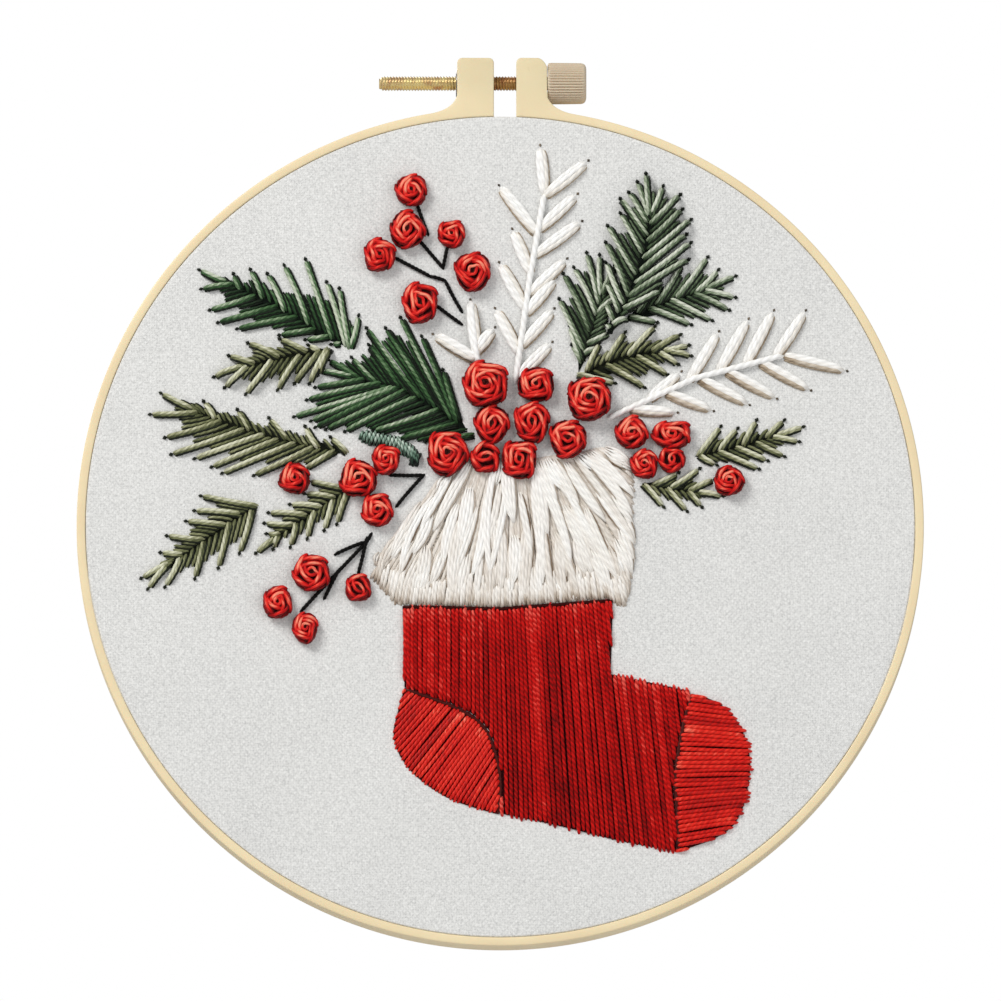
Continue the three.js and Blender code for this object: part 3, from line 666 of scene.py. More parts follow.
def add_frond(node):
    """White leaves of a few broad strands on a roped spine."""
    low, high = heights(node)
    height = (low + high) / 2 - 0.05
    points = outline(node)
    base, tips, roots, spine = branches(points, 0.6)
    farthest = int(np.argmax(np.linalg.norm(tips - base, axis=1)))
    line = [base] + [spine[i] for i in range(min(farthest, len(spine)))] + [tips[farthest]]
    if node in FROND_SPINES:
        line = in_box(node, FROND_SPINES[node])
        roots = leaf_roots(line, tips)
    blunt = 0.45 if node == "white_frond_right" else 0.7
    stitches = Stitches()
    for tip, root in zip(tips, roots):
        run, length, away = frame_of(tip, root)
        wide = 1.0 if length > 5 else 0.7
        turned = 1 if away @ np.array([-run[1], run[0]]) > 0 else -1
        # painted shade: leaves that point to the shadow side are darker, and each leaf's strand on its shadow side is
        # darker still
        shaded = 0.2 * max(run @ SHADOW_SIDE, 0)
        for offset, tone in ((-0.74, 0.96), (0.0, 0.92), (0.74, 0.62)):
            bow = (offset * 0.55 * wide + rng.uniform(-0.08, 0.08)) * turned
            start = root + away * offset * 0.45
            end = tip + away * offset * blunt * wide - run * (0.2 + 0.6 * abs(offset))
            tone += rng.uniform(-0.06, 0.06) - shaded * (1 + offset)
            shades = [tone - 0.2, tone, tone, tone - 0.06]
            stitches.thread(straight(start, end, height, bow, 0.3 - 0.2 * abs(offset)), 0.58, shades, pitch=5.2, plies=0.05)
        # a tan thread along each leaf's shadow side: painted shade
        start = root + away * 1.0
        end = tip + away * (0.45 + 0.7 * blunt) * wide - run * 0.5
        stitches.thread(straight(start, end, 0.3, 0.45 * turned, 0.05), 0.32, 0.16, step=0.4, sides=6)
        stitches.back(tip, root, 0.4, 0.8)
        # a dark dot past the tip: painted shade for the needle's hole
        stitches.knot(tip[0] + run[0] * 0.5, tip[1] + run[1] * 0.5, 0.4, 0.0, 0.16, run, 0.95)
    if len(line) > 2:
        rope = np.column_stack([np.array(line), np.full(len(line), height + 0.35)])
        stitches.thread(rope, 0.7, [0.9, 0.98, 0.92], pitch=4.5, plies=0.08)
    floss = thread_material(node + "_thread", WHITE_STOPS, 0.6, 0.2, 0.16, flecks=0.03)
    return stitches.finish(node + "_stitches", floss, node)


# The stems' corner points, as in the CAD part, and two short ones that are only stitched.
STEMS = {
    "stem_top_fork": [[(-19, 68), (-13.5, 61.5), (-12.5, 66.5)]],
    "stem_top_long": [[(-25, 64), (-16.5, 59.5), (-13, 58.5), (-9, 51)], [(-19.5, 76.5), (-17, 69.5)]],
    "stem_middle_fork": [[(-26, 12), (-18, 12), (-24.5, 4.5)], [(-15, 52.5), (-9, 48)]],
    "stem_lower_spray": [
        [(-30.5, -2), (-32, -4.5), (-47, -20.5)],
        [(-32, -4), (-39, -7)],
        [(-31.5, -3), (-33.5, -11.5)],
        [(-38, -10.5), (-41.5, -17.5)],
    ],
}


def add_stems():
    """Black thread in single straight stitches from corner to corner."""
    floss = thread_material("stem_floss", BLACK_STOPS, 0.6, 0.3, 0.4, 0.06)
    for node, lines in STEMS.items():
        low, high = heights(node)
        stitches = Stitches()
        for line in lines:
            for a, b in zip(line[:-1], line[1:]):
                a, b = np.array(a, float), np.array(b, float)
                run = (b - a) / np.linalg.norm(b - a)
                tones = [0.35, 0.5, 0.4, 0.55, 0.4]
                stitches.thread(straight(a - run * 0.5, b + run * 0.4, min(high - 0.3, 0.5), rng.uniform(-0.2, 0.2), 0.1), 0.44, tones, pitch=2.0, plies=0.16)
                stitches.back(b, a + run * 1.2, 0.4, 0.4)
        stitches.finish(node + "_stitches", floss, node)

# ---------------------------------------------------------------- satin stitches


def add_satin(node, lines, stops, slot, radius, bright=0.3, seam=None, ragged=0.3, plies=0.06, vary=0.18, **looks):
    """Rows of long threads side by side: each line is a start and a direction, and fills the node's outline."""
    low, high = heights(node)
    height = (low + high) / 2 - 0.05
    points = outline(node)
    stitches = Stitches()
    for start, direction in lines:
        direction = np.asarray(direction, float)
        direction = direction / np.linalg.norm(direction)
        for near, far in spans(np.asarray(start, float), direction, points):
            if far - near < 0.8:
                continue
            a = start + direction * (near - 0.3 - rng.uniform(-0.2, ragged))
            b = start + direction * (far + 0.3 + rng.uniform(-0.2, ragged))
            s = np.linspace(0, far - near, 24)
            tone = 0.61 + rng.uniform(-vary, vary)
            # painted highlights on the rounded ends, strongest at the start of each thread, and a little darker along
            # its length
            tones = tone + bright * np.exp(-s / 2.6) - 0.1 * s / 50 + 0.08 * np.exp(-(far - near - s) / 1.2) + rng.uniform(-0.1, 0.1, 24)
            size = radius * rng.uniform(0.86, 1.08)
            path = straight(a, b, height + rng.uniform(-0.08, 0.08), rng.uniform(-0.2, 0.2), 0.06)
            stitches.thread(path, size, tones, pitch=rng.uniform(2.2, 3.2), plies=plies)
            stitches.back(a, b, size * 0.9, tone)
    # a dark thread along the edge that meets the neighbouring part: painted shade in the join
    if seam is not None:
        other = outline(seam)
        near = [i for i, p in enumerate(points) if distance_to(p, other) < 1.3]
        breaks = [k for k in range(len(near)) if near[k] - near[k - 1] != 1]
        run = near[breaks[-1]:] + near[: breaks[-1]] if breaks else near
        edge = np.array([points[i] for i in run])
        stitches.thread(np.column_stack([edge, np.full(len(edge), 0.24)]), 0.52, -0.5, floor=0.0, step=0.4, sides=6)
    looks = {"roughness": 0.4, "streaks": 0.4, "groove": 0.3, "specular": 0.4, "tint": (1, 0.46, 0.4), "flecks": 0.04, **looks}
    thing = stitches.finish(node + "_stitches", thread_material(node + "_thread", stops, **looks), node)
    # a dark padding sheet: painted shade in the gaps between the threads
    add_padding(node + "_padding", points, 0.02, height - 0.3, SHADOWS[slot], -0.06)
    return thing


def distance_to(point, polygon):
    """How far the point is from the polygon's sides."""
    a, b = polygon, np.roll(polygon, -1, axis=0)
    side = b - a
    t = np.clip(((point - a) * side).sum(1) / np.maximum((side**2).sum(1), 1e-9), 0, 1)
    return np.linalg.norm(a + side * t[:, None] - point, axis=1).min()


def leg_lines():
    lines = []
    x = -22.55
    while x < 46:
        lean = 0.115 * min(max((x + 8) / 36, 0), 1)
        lines.append(((x, -18.0), (lean, -1)))
        x += 0.96 * rng.uniform(0.94, 1.06)
    return lines


def heel_lines():
    start, end = np.array([-30.0, -38.0]), np.array([4.0, -70.0])
    lines = []
    for t in np.arange(0, 1, 0.93 / np.linalg.norm(end - start)):
        angle = math.radians(44 + 18 * t + rng.uniform(-1, 1))
        lines.append((start + (end - start) * t, (-math.cos(angle), -math.sin(angle))))
    return lines


def toe_lines():
    lines = []
    for z in np.arange(-84, -34, 1.02):
        share = np.clip((z + 79) / 40, 0, 1)
        angle = math.radians(13 - 23 * share + rng.uniform(-1, 1))
        lines.append(((49, z), (math.cos(angle), math.sin(angle))))
    return lines


def add_cuff(node="stocking_cuff"):
    """Broad soft strands in overlapping locks that spread like fur from under the berries."""
    low, high = heights(node)
    height = (low + high) / 2 - 0.2
    points = outline(node)
    focus = np.array([3.0, 36.0])
    outer = shrunk(points, -0.5)
    # the top edge reaches in under the berries
    outer[:, 1] += np.where(outer[:, 1] > 4, 3.2 * np.exp(-(((outer[:, 0] - 4) / 13) ** 4)), 0)

    def heading(p):
        depth = np.clip((20 - p[1]) / 40, 0, 1)
        run = np.array([(p[0] - focus[0]) * (1.06 - 0.45 * depth), p[1] - focus[1]])
        return run / np.linalg.norm(run)

    def lay(start, length, width, strands, lift, tone, tip_tone=-0.08):
        """One lock: strands side by side that draw together at both ends."""
        path, p = [], np.array(start, float)
        swing, lean = rng.uniform(-0.26, 0.26), rng.uniform(-0.12, 0.12)
        for k in range(int(length / 0.8) + 1):
            path.append(p.copy())
            run = heading(p)
            turn = lean + swing * (1 - 2 * k * 0.8 / length)
            run = np.array([run[0] * math.cos(turn) - run[1] * math.sin(turn), run[0] * math.sin(turn) + run[1] * math.cos(turn)])
            p = p + run * 0.8
        path = np.array(path)
        kept = inside(path, outer)
        if kept.sum() < 4:
            return
        first = int(np.argmax(kept))
        rest = kept[first:]
        last = first + (len(rest) if rest.all() else int(np.argmin(rest)))
        path = path[first:last]
        if len(path) < 4:
            return
        side = np.gradient(path, axis=0)
        side /= np.linalg.norm(side, axis=1)[:, None]
        side = np.column_stack([-side[:, 1], side[:, 0]])
        t = np.linspace(0, 1, len(path))
        swell = np.sin(np.pi * (0.14 + t * 0.83)) ** 0.8
        for k in range(strands):
            offset = (k / max(strands - 1, 1) - 0.5) * width
            spread = path + side * (offset * swell)[:, None]
            dome = lift + 0.32 * np.sin(np.pi * t) * (1 - (2 * offset / (width + 1)) ** 2)
            # painted shade: a lock's outer strands are a little darker
            level = tone + rng.uniform(-0.05, 0.05) - 0.1 * abs(2 * offset / (width + 0.1)) ** 2
            shades = [level - 0.1, level + 0.03, level + 0.05, level, level + tip_tone]
            stitches.thread(np.column_stack([spread, height + dome]), 0.46, shades, pitch=5.5, plies=0.05, floor=height + lift - 0.7, step=0.55, taper=0.72, point=2.4)
        # a thin darker strand along the lock's shadow side: painted shade
        edge = (path + side * (width / 2 + 0.55) * (1 if side[0] @ SHADOW_SIDE > 0 else -1) * swell[:, None])[1:-1]
        stitches.thread(np.column_stack([edge, np.full(len(edge), height + lift - 0.12)]), rng.uniform(0.24, 0.4), rng.uniform(0.0, 0.34), floor=height + lift - 0.5, step=0.8, sides=6, taper=0.6, point=2)

    stitches = Stitches()
    # an even layer underneath, then rows of locks from the hem up
    for angle in np.arange(-1.4, 1.4, 0.0185):
        direction = np.array([math.sin(angle), -math.cos(angle)])
        for near, far in spans(focus, direction, outer):
            if far - near > 1:
                level = 0.46 + rng.uniform(-0.1, 0.1)
                ends = focus + direction * (near - 0.2), focus + direction * (far + rng.uniform(-0.8, 0))
                stitches.thread(straight(*ends, height - 0.2, rng.uniform(-0.4, 0.4)), 0.52, [level, level, level + 0.06, level - 0.16], pitch=5, plies=0.06, floor=-0.2, step=0.9, sides=6)
                if rng.uniform() < 0.3:
                    stitches.back(*ends, 0.45, 0.7)
    rows = ((-14.0, 9, 2.1, 0.1), (-7.0, 13, 2.6, 0.24), (1.0, 17, 3.0, 0.38), (10.0, 21, 3.2, 0.52), (19.0, 24, 3.0, 0.66), (25.0, 22, 2.6, 0.74))
    for level, reach, gap, lift in rows:
        distance = focus[1] - level
        for angle in np.arange(-1.45, 1.45, gap / distance):
            angle += rng.uniform(-0.3, 0.3) * gap / distance
            start = focus + distance * np.array([math.sin(angle), -math.cos(angle)]) * rng.uniform(0.9, 1.1)
            strands = int(rng.integers(2, 5))
            lay(start, reach * rng.uniform(0.7, 1.35), 0.78 * (strands - 1), strands, lift + rng.uniform(-0.05, 0.1), rng.uniform(0.58, 0.94) + 0.006 * level)
    # the dense short strands of the hem
    for x in np.arange(points[:, 0].min() + 0.8, points[:, 0].max() - 0.4, 0.7):
        bottom = [far for near, far in spans(np.array([x, 40.0]), (0, -1), points)]
        if bottom:
            end = np.array([x, 40 - max(bottom) - rng.uniform(0.0, 0.7)])
            lean = heading(end) * 0.6 + np.array([0, -0.4])
            tone = rng.uniform(0.44, 0.72)
            stitches.thread(straight(end - lean * rng.uniform(4.5, 9), end, height + 0.15, rng.uniform(-0.2, 0.2), 0.3), 0.42, [tone + 0.14, tone + 0.05, tone - 0.1, tone - 0.4], pitch=4, plies=0.08, floor=-0.2, step=0.4)
    thing = stitches.finish(node + "_stitches", thread_material("cuff_wool", CREAM_STOPS, 0.7, 0.18, 0.14, 0.2, flecks=0.03), node)
    add_padding(node + "_padding", points, 0.02, height - 0.6, SHADOWS["cream_wool"], 0.8)
    return thing


# ---------------------------------------------------------------- berries


def add_berry(node, material):
    """A bud wound from short arcs of thread round a dark centre, over a padded dome."""
    low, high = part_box(node)
    x = ((low.x + high.x) / 2 - CENTRE_X) / MM
    z = ((low.z + high.z) / 2 - CENTRE_Z) / MM
    a = (high.x - low.x) / 2 / MM / BERRY_SHRINK
    b = (high.z - low.z) / 2 / MM / BERRY_SHRINK
    base, top = heights(node)
    rise = top - base
    mean = (a + b) / 2
    stitches = Stitches()
    radius = 0.4 if mean > 3.6 else 0.345
    band = radius * 2.85
    square = rng.uniform(2.0, 2.7)
    tilt = rng.uniform(0, 6.28)
    sway = rng.uniform(0.015, 0.06)

    def spot(rho, angle, height):
        c, s = np.cos(angle), np.sin(angle)
        stretch = (np.abs(c) ** square + np.abs(s) ** square) ** (-1 / square)
        wave = rho * stretch * (1 + sway * np.sin(3 * angle + tilt))
        return np.column_stack([x + a * wave * c, z + b * wave * s, height])

    def dome(rho):
        return base + rise * np.sqrt(np.clip(1 - (0.93 * rho) ** 2, 0, 1)) * 0.92

    # a low collar that carries the bud down to the linen
    steps = np.linspace(0, 2 * np.pi, 40)
    for height in np.arange(0.3, base + 0.5, 0.62):
        path = spot(np.full(40, 0.86), steps, np.full(40, height))
        stitches.thread(path, 0.42, 0.22, floor=0, dive=(False, False), taper=0)
    rings = max(2, int((mean - 0.3) / band))
    for k in range(rings):
        rho = 1 - (k * band + radius * 1.35) / mean
        arcs = int(rng.integers(4, 6)) if k == 0 else int(rng.integers(3, 5)) if k < rings - 1 else 2
        start = rng.uniform(0, 6.28)
        for j in range(arcs):
            sweep = 2 * math.pi / arcs * rng.uniform(1.2, 1.55)
            angle = start + j * 2 * math.pi / arcs + np.linspace(0, sweep, 14)
            t = np.linspace(0, 1, 14)
            drift = (t - 0.5) * 0.85 * band / mean
            middle = angle[7]
            # the side towards the light is brighter, and each petal is flatter than a circle
            lit = 0.16 * math.cos(middle - 2.2)
            tone = (0.54 if k == 0 else 0.65 if k < rings - 1 else 0.53) + lit + rng.uniform(-0.1, 0.12)
            flat = (1 - math.cos(sweep / 2)) * 0.55
            for strand, (offset, lift) in enumerate(((-0.82, -0.12), (0.0, 0.2), (0.82, -0.16))):
                here = rho - drift + offset * radius * 0.98 / mean
                here = np.clip(here * (1 + flat * 0.25 - flat * np.sin(np.pi * t)), 0.2, 0.97)
                hump = 0.34 * np.sin(np.pi * t) + lift - 0.2
                path = spot(here, angle, dome(here) - radius * 0.5 + hump)
                # painted highlight along the middle strand's crest, painted shade on the side strands and towards the
                # arcs' ends
                crest = tone + (0.1 if strand == 1 else -0.14)
                shade = [crest - 0.4, crest, crest + (0.24 if strand == 1 else 0), crest, crest - 0.4]
                stitches.thread(path, radius * rng.uniform(0.82, 0.95), shade, pitch=4.5, plies=0.06, floor=0, dive=(False, False), step=0.34, taper=0)
    # the darkest thread spirals in the middle: painted shade for the hollow at the bud's centre
    core = 1 - (rings * band + radius * 0.4) / mean
    core = max(core, 0.2)
    turns = np.linspace(0, 2 * np.pi * 1.6, 26)
    path = spot(np.linspace(core * 0.9, 0.05, 26), turns + tilt, dome(np.zeros(26)) - np.linspace(0.3, 0.55, 26))
    stitches.thread(path, 0.37, [0.1, 0.02, 0.0, 0.0, 0.0], floor=0, dive=(False, False), step=0.25)
    for turn in rng.uniform(0, 3.14, 4):
        reach = np.array([math.cos(turn), math.sin(turn)]) * mean * 0.6
        stitches.back(np.array([x, z]) - reach, np.array([x, z]) + reach, 0.32, 0.4)
    stitches.finish(node + "_bud", material, node)
    # the padding under the arcs, dark red as painted shade in the gaps between them
    rows, columns = 7, 20
    angle = np.arange(columns) * 2 * np.pi / columns
    shell = []
    for rho in np.linspace(0.9, 0.0, rows):
        shell.append(spot(np.full(columns, max(rho, 0.01)), angle, np.full(columns, dome(rho * 0.97) - radius * 1.6)))
    foot = spot(np.full(columns, 0.84), angle, np.full(columns, 0.02))
    points = np.concatenate([foot] + shell)
    faces = [face[::-1] for face in sheet_faces(rows + 1, columns).tolist()]
    faces += [list(range(columns))[::-1], list(range(rows * columns, (rows + 1) * columns))]
    pad = add_object(node + "_padding", placed(points), faces, SHADOWS["berry_thread"])
    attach(pad, PANEL)


# ---------------------------------------------------------------- hoops, clamp and linen

HOOP_RADIUS = 100.0
HOOP_BAND = 2.05
HALF_DEPTH = 4.5
LUG_TOP = 112.0
GAP_LEFT, GAP_RIGHT = -1.5, 3.8
LUG_LEFT, LUG_RIGHT = -10.2, 11.1
SCREW_HEIGHT = 106.5
SCREW_RADIUS = 1.75
THREAD_PITCH = 0.7


def around(points):
    """Rows of across, depth and up, in millimetres from the hoop's centre, as points in the row frame."""
    p = np.asarray(points, float) * MM
    return np.column_stack([CENTRE_X + p[:, 0], p[:, 1], CENTRE_Z + p[:, 2]])


def curve(a, control, b, steps=8):
    """A quadratic curve from a to b, without its last point."""
    t = np.arange(steps)[:, None] / steps
    a, control, b = (np.asarray(v, float) for v in (a, control, b))
    return (1 - t) ** 2 * a + 2 * t * (1 - t) * control + t**2 * b


def arc(radius, start, end, step=0.5):
    """Points on a circle about the hoop's centre, from one angle to another in degrees."""
    count = max(2, int(abs(end - start) / step))
    angle = np.radians(np.linspace(start, end, count))
    return radius * np.column_stack([np.cos(angle), np.sin(angle)])


def hoop_outline():
    """The outer hoop's front outline, anticlockwise: round the outside, up one lug, down the gap and back inside."""
    inner = HOOP_RADIUS - HOOP_BAND
    flare_left = np.array([LUG_LEFT - 6, math.sqrt(HOOP_RADIUS**2 - (LUG_LEFT - 6) ** 2)])
    flare_right = np.array([LUG_RIGHT + 6.5, math.sqrt(HOOP_RADIUS**2 - (LUG_RIGHT + 6.5) ** 2)])
    angle_left = math.degrees(math.atan2(flare_left[1], flare_left[0]))
    angle_right = math.degrees(math.atan2(flare_right[1], flare_right[0]))
    foot_left = (GAP_LEFT, math.sqrt(inner**2 - GAP_LEFT**2))
    foot_right = (GAP_RIGHT, math.sqrt(inner**2 - GAP_RIGHT**2))
    foot_angle_left = math.degrees(math.atan2(foot_left[1], foot_left[0]))
    foot_angle_right = math.degrees(math.atan2(foot_right[1], foot_right[0]))
    shoulder = HOOP_RADIUS + 3
    pieces = [
        arc(HOOP_RADIUS, angle_left, 360 + angle_right),
        curve(flare_right, (LUG_RIGHT + 1, flare_right[1] + 1), (LUG_RIGHT, shoulder), 14),
        curve((LUG_RIGHT, LUG_TOP - 2.2), (LUG_RIGHT - 0.9, LUG_TOP - 0.1), (LUG_RIGHT - 2.4, LUG_TOP), 10),
        curve((GAP_RIGHT + 1.4, LUG_TOP), (GAP_RIGHT, LUG_TOP), (GAP_RIGHT, LUG_TOP - 1.4)),
        [(GAP_RIGHT, LUG_TOP - 1.4)],
        arc(inner, foot_angle_right + 360, foot_angle_left),
        curve((GAP_LEFT, LUG_TOP - 1.4), (GAP_LEFT, LUG_TOP), (GAP_LEFT - 1.4, LUG_TOP)),
        curve((LUG_LEFT + 1.4, LUG_TOP), (LUG_LEFT, LUG_TOP), (LUG_LEFT, LUG_TOP - 1.4)),
        [(LUG_LEFT, LUG_TOP - 1.4)],
        curve((LUG_LEFT, shoulder), (LUG_LEFT - 1, flare_left[1] + 1), flare_left, 14),
    ]
    points = np.vstack(pieces)
    apart = np.linalg.norm(points - np.roll(points, 1, axis=0), axis=1) > 0.02
    return points[apart]


def add_cutter(name, radius, start, end, sides=48, turn=0.0):
    """A rod along the clamp screw's axis, to cut with."""
    angle = np.arange(sides) * 2 * np.pi / sides + turn
    rings = [np.column_stack([np.full(sides, x), radius * np.cos(angle), SCREW_HEIGHT + radius * np.sin(angle)]) for x in (start, end)]
    faces = sheet_faces(2, sides).tolist() + [list(range(sides)), list(range(sides, 2 * sides))[::-1]]
    cutter = add_object(name, around(np.vstack(rings)), faces, SHADOWS["cream_wool"], smooth=False)
    tidy = bmesh.new()
    tidy.from_mesh(cutter.data)
    bmesh.ops.recalc_face_normals(tidy, faces=tidy.faces)
    tidy.to_mesh(cutter.data)
    tidy.free()
    return cutter


def add_outer_hoop():
    """One springy strip with its two lugs, cut for the screw, the nut and the knob."""
    outer = hoop_outline()
    count = len(outer)
    rounding = [(0.36, 0.0), (0.2, 0.05), (0.08, 0.13), (0.02, 0.25), (0.0, 0.4)]
    profile = [(inset, -HALF_DEPTH + back) for inset, back in rounding]
    profile += [(inset, HALF_DEPTH - back) for inset, back in reversed(rounding)]
    layers = []
    for inset, depth in profile:
        line = shrunk(outer, inset)
        layers.append(np.column_stack([line[:, 0], np.full(count, depth), line[:, 1]]))
    faces = sheet_faces(len(profile), count).tolist()
    top = (len(profile) - 1) * count
    faces += [list(range(count)), list(range(top, top + count))[::-1]]
    plastic = hoop_material("cream_plastic", (236, 218, 178), (230, 210, 170), 0.42)
    hoop = add_object("outer_hoop", around(np.vstack(layers)), faces, plastic)
    build = bmesh.new()
    build.from_mesh(hoop.data)
    bmesh.ops.recalc_face_normals(build, faces=build.faces)
    bmesh.ops.triangulate(build, faces=[face for face in build.faces if len(face.verts) > 4])
    build.to_mesh(hoop.data)
    build.free()
    pocket = 6.6 / math.sqrt(3) + 0.35
    cutters = [
        add_cutter("cut_screw", SCREW_RADIUS + 0.35, -20, 25),
        add_cutter("cut_nut", pocket, LUG_LEFT - 1, LUG_LEFT + 2.3, 6),
        add_cutter("cut_knob", 5.25, LUG_RIGHT, LUG_RIGHT + 20),
    ]
    for cutter in cutters:
        cut = hoop.modifiers.new(cutter.name, "BOOLEAN")
        cut.operation = "DIFFERENCE"
        cut.solver = "EXACT"
        cut.object = cutter
    bpy.context.view_layer.update()
    seen = hoop.evaluated_get(bpy.context.evaluated_depsgraph_get())
    solid = bpy.data.meshes.new_from_object(seen)
    hoop.modifiers.clear()
    hoop.data = solid
    for cutter in cutters:
        bpy.data.objects.remove(cutter)
    solid.polygons.foreach_set("use_smooth", [abs(face.normal.y) < 0.999 for face in solid.polygons])
    solid.set_sharp_from_angle(angle=math.radians(38))
    solid.materials.clear()
    solid.materials.append(plastic)
    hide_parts("outer_hoop_left_arm", "outer_hoop_right_arm")
    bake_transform(hoop)
    return hoop


def add_turned(name, profile, material, steps=240):
    """A closed ring turned about the hoop's axis from its radius and depth profile."""
    angle = np.arange(steps) * 2 * np.pi / steps
    rows = [np.column_stack([r * np.cos(angle), np.full(steps, y), r * np.sin(angle)]) for r, y in profile]
    rows.append(rows[0])
    points = np.vstack(rows[:-1])
    count = len(profile)
    faces = sheet_faces(count + 1, steps) % (count * steps)
    ring = add_object(name, around(points), faces, material)
    mend(ring)
    return ring


def mend(thing, sharp=35):
    """Turns the mesh's faces outwards and keeps its edges crisp."""
    build = bmesh.new()
    build.from_mesh(thing.data)
    bmesh.ops.recalc_face_normals(build, faces=build.faces)
    build.to_mesh(thing.data)
    build.free()
    thing.data.set_sharp_from_angle(angle=math.radians(sharp))


def rod(name, rings, sides, material, sharp=35):
    """A body about the clamp screw's axis, from rings of (place along the axis, radius at each angle)."""
    angle = np.arange(sides) * 2 * np.pi / sides
    rows = []
    for x, radius in rings:
        radius = np.broadcast_to(radius, sides)
        rows.append(np.column_stack([np.full(sides, x), radius * np.cos(angle), SCREW_HEIGHT + radius * np.sin(angle)]))
    count = len(rows)
    faces = sheet_faces(count, sides).tolist()
    faces += [list(range(sides)), list(range((count - 1) * sides, count * sides))[::-1]]
    thing = add_object(name, around(np.vstack(rows)), faces, material)
    mend(thing, sharp)
    return thing


def add_screw():
    """A rolled thread with a chamfered point; its far end is held in the knob."""
    sides = 28
    angle = np.arange(sides) * 2 * np.pi / sides
    start, end = -28.7, 16.1
    rings = []
    for x in np.arange(start, end, THREAD_PITCH / 8):
        phase = (x / THREAD_PITCH - angle / (2 * np.pi)) % 1
        depth = 0.31 * np.abs(2 * phase - 1)
        fade = min(1.0, (x - start) / 0.9)
        rings.append((x, (SCREW_RADIUS - depth) * (0.72 + 0.28 * fade)))
    brass = metal_material("screw_brass_metal", (222, 204, 146), (184, 142, 104), 0.28, 0.6)
    screw = rod("clamp_screw_thread", rings, sides, brass, 50)
    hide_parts("clamp_screw")
    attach(screw, "clamp_screw")


def add_nut():
    """A hexagonal nut with turned chamfers, let into the left lug."""
    sides = 72
    angle = np.arange(sides) * 2 * np.pi / sides
    flats = 3.3 / np.cos((angle % (np.pi / 3)) - np.pi / 6)
    start = LUG_LEFT - 0.3
    hole = np.full(sides, SCREW_RADIUS + 0.34)
    rings = [
        (start + 0.3, hole),
        (start, hole + 0.25),
        (start, np.minimum(flats, 3.15)),
        (start + 0.18, np.minimum(flats, 3.5)),
        (start + 0.36, flats),
        (start + 1.95, flats),
        (start + 2.3, np.minimum(flats, 3.3)),
        (start + 2.3, hole),
    ]
    steel = metal_material("nut_steel_metal", (176, 174, 170), (128, 124, 120), 0.38)
    rows = []
    for x, radius in rings:
        rows.append(np.column_stack([np.full(sides, x), radius * np.cos(angle), SCREW_HEIGHT + radius * np.sin(angle)]))
    faces = sheet_faces(len(rows) + 1, sides) % (len(rows) * sides)
    nut = add_object("clamp_nut_hex", around(np.vstack(rows)), faces, steel)
    mend(nut, 25)
    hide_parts("clamp_nut")
    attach(nut, "outer_hoop")


def add_knob():
    """A ribbed knob with a turned shoulder, a rounded end and a shallow dish in it."""
    ribs, sides = 44, 264
    angle = np.arange(sides) * 2 * np.pi / sides
    wave = 0.5 - 0.5 * np.cos(ribs * angle)
    start = LUG_RIGHT + 0.1
    hole = SCREW_RADIUS + 0.02

    def at(x, radius, depth):
        return (start + x, np.full(sides, radius) - depth * wave**1.5)

    rings = [
        at(4.2, hole, 0), at(0.25, hole, 0), at(0.0, hole + 0.3, 0), at(0.0, 4.3, 0), at(0.1, 4.6, 0.05),
        at(0.25, 4.8, 0.15), at(0.5, 4.88, 0.3), at(1.0, 4.92, 0.46), at(4.3, 4.9, 0.46),
        at(7.9, 4.84, 0.46), at(8.35, 4.76, 0.3), at(8.7, 4.58, 0.2), at(8.95, 4.3, 0.08), at(9.12, 3.9, 0),
        at(9.2, 3.4, 0), at(9.18, 3.1, 0), at(8.8, 2.8, 0), at(8.65, 2.2, 0), at(8.6, 0.6, 0), at(8.6, 0.05, 0),
    ]
    plastic = hoop_material("knob_beige_plastic", (216, 198, 173), (207, 186, 162), 0.45)
    knob = rod("screw_knob_ribbed", rings, sides, plastic, 60)
    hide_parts("screw_knob")
    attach(knob, "clamp_screw")


PLEATS = 46
HEM_INNER, HEM_OUTER = 70.0, 97.65


def hem_depth(radius, angle):
    """How far back the gathered hem stands: its pleats deepen towards the drawn-in edge."""
    t = np.clip((93.5 - radius) / 22, 0, 1)
    uneven = 0.35 * np.sin(5 * angle + 1) + 0.25 * np.sin(11 * angle + 2.2)
    wave = np.sin(PLEATS * angle + 1.4 * np.sin(3 * angle) + 1.2 * t + uneven)
    return 3.78 - t * (0.75 + 0.22 * uneven) * (1 - wave) + 0.1 * t


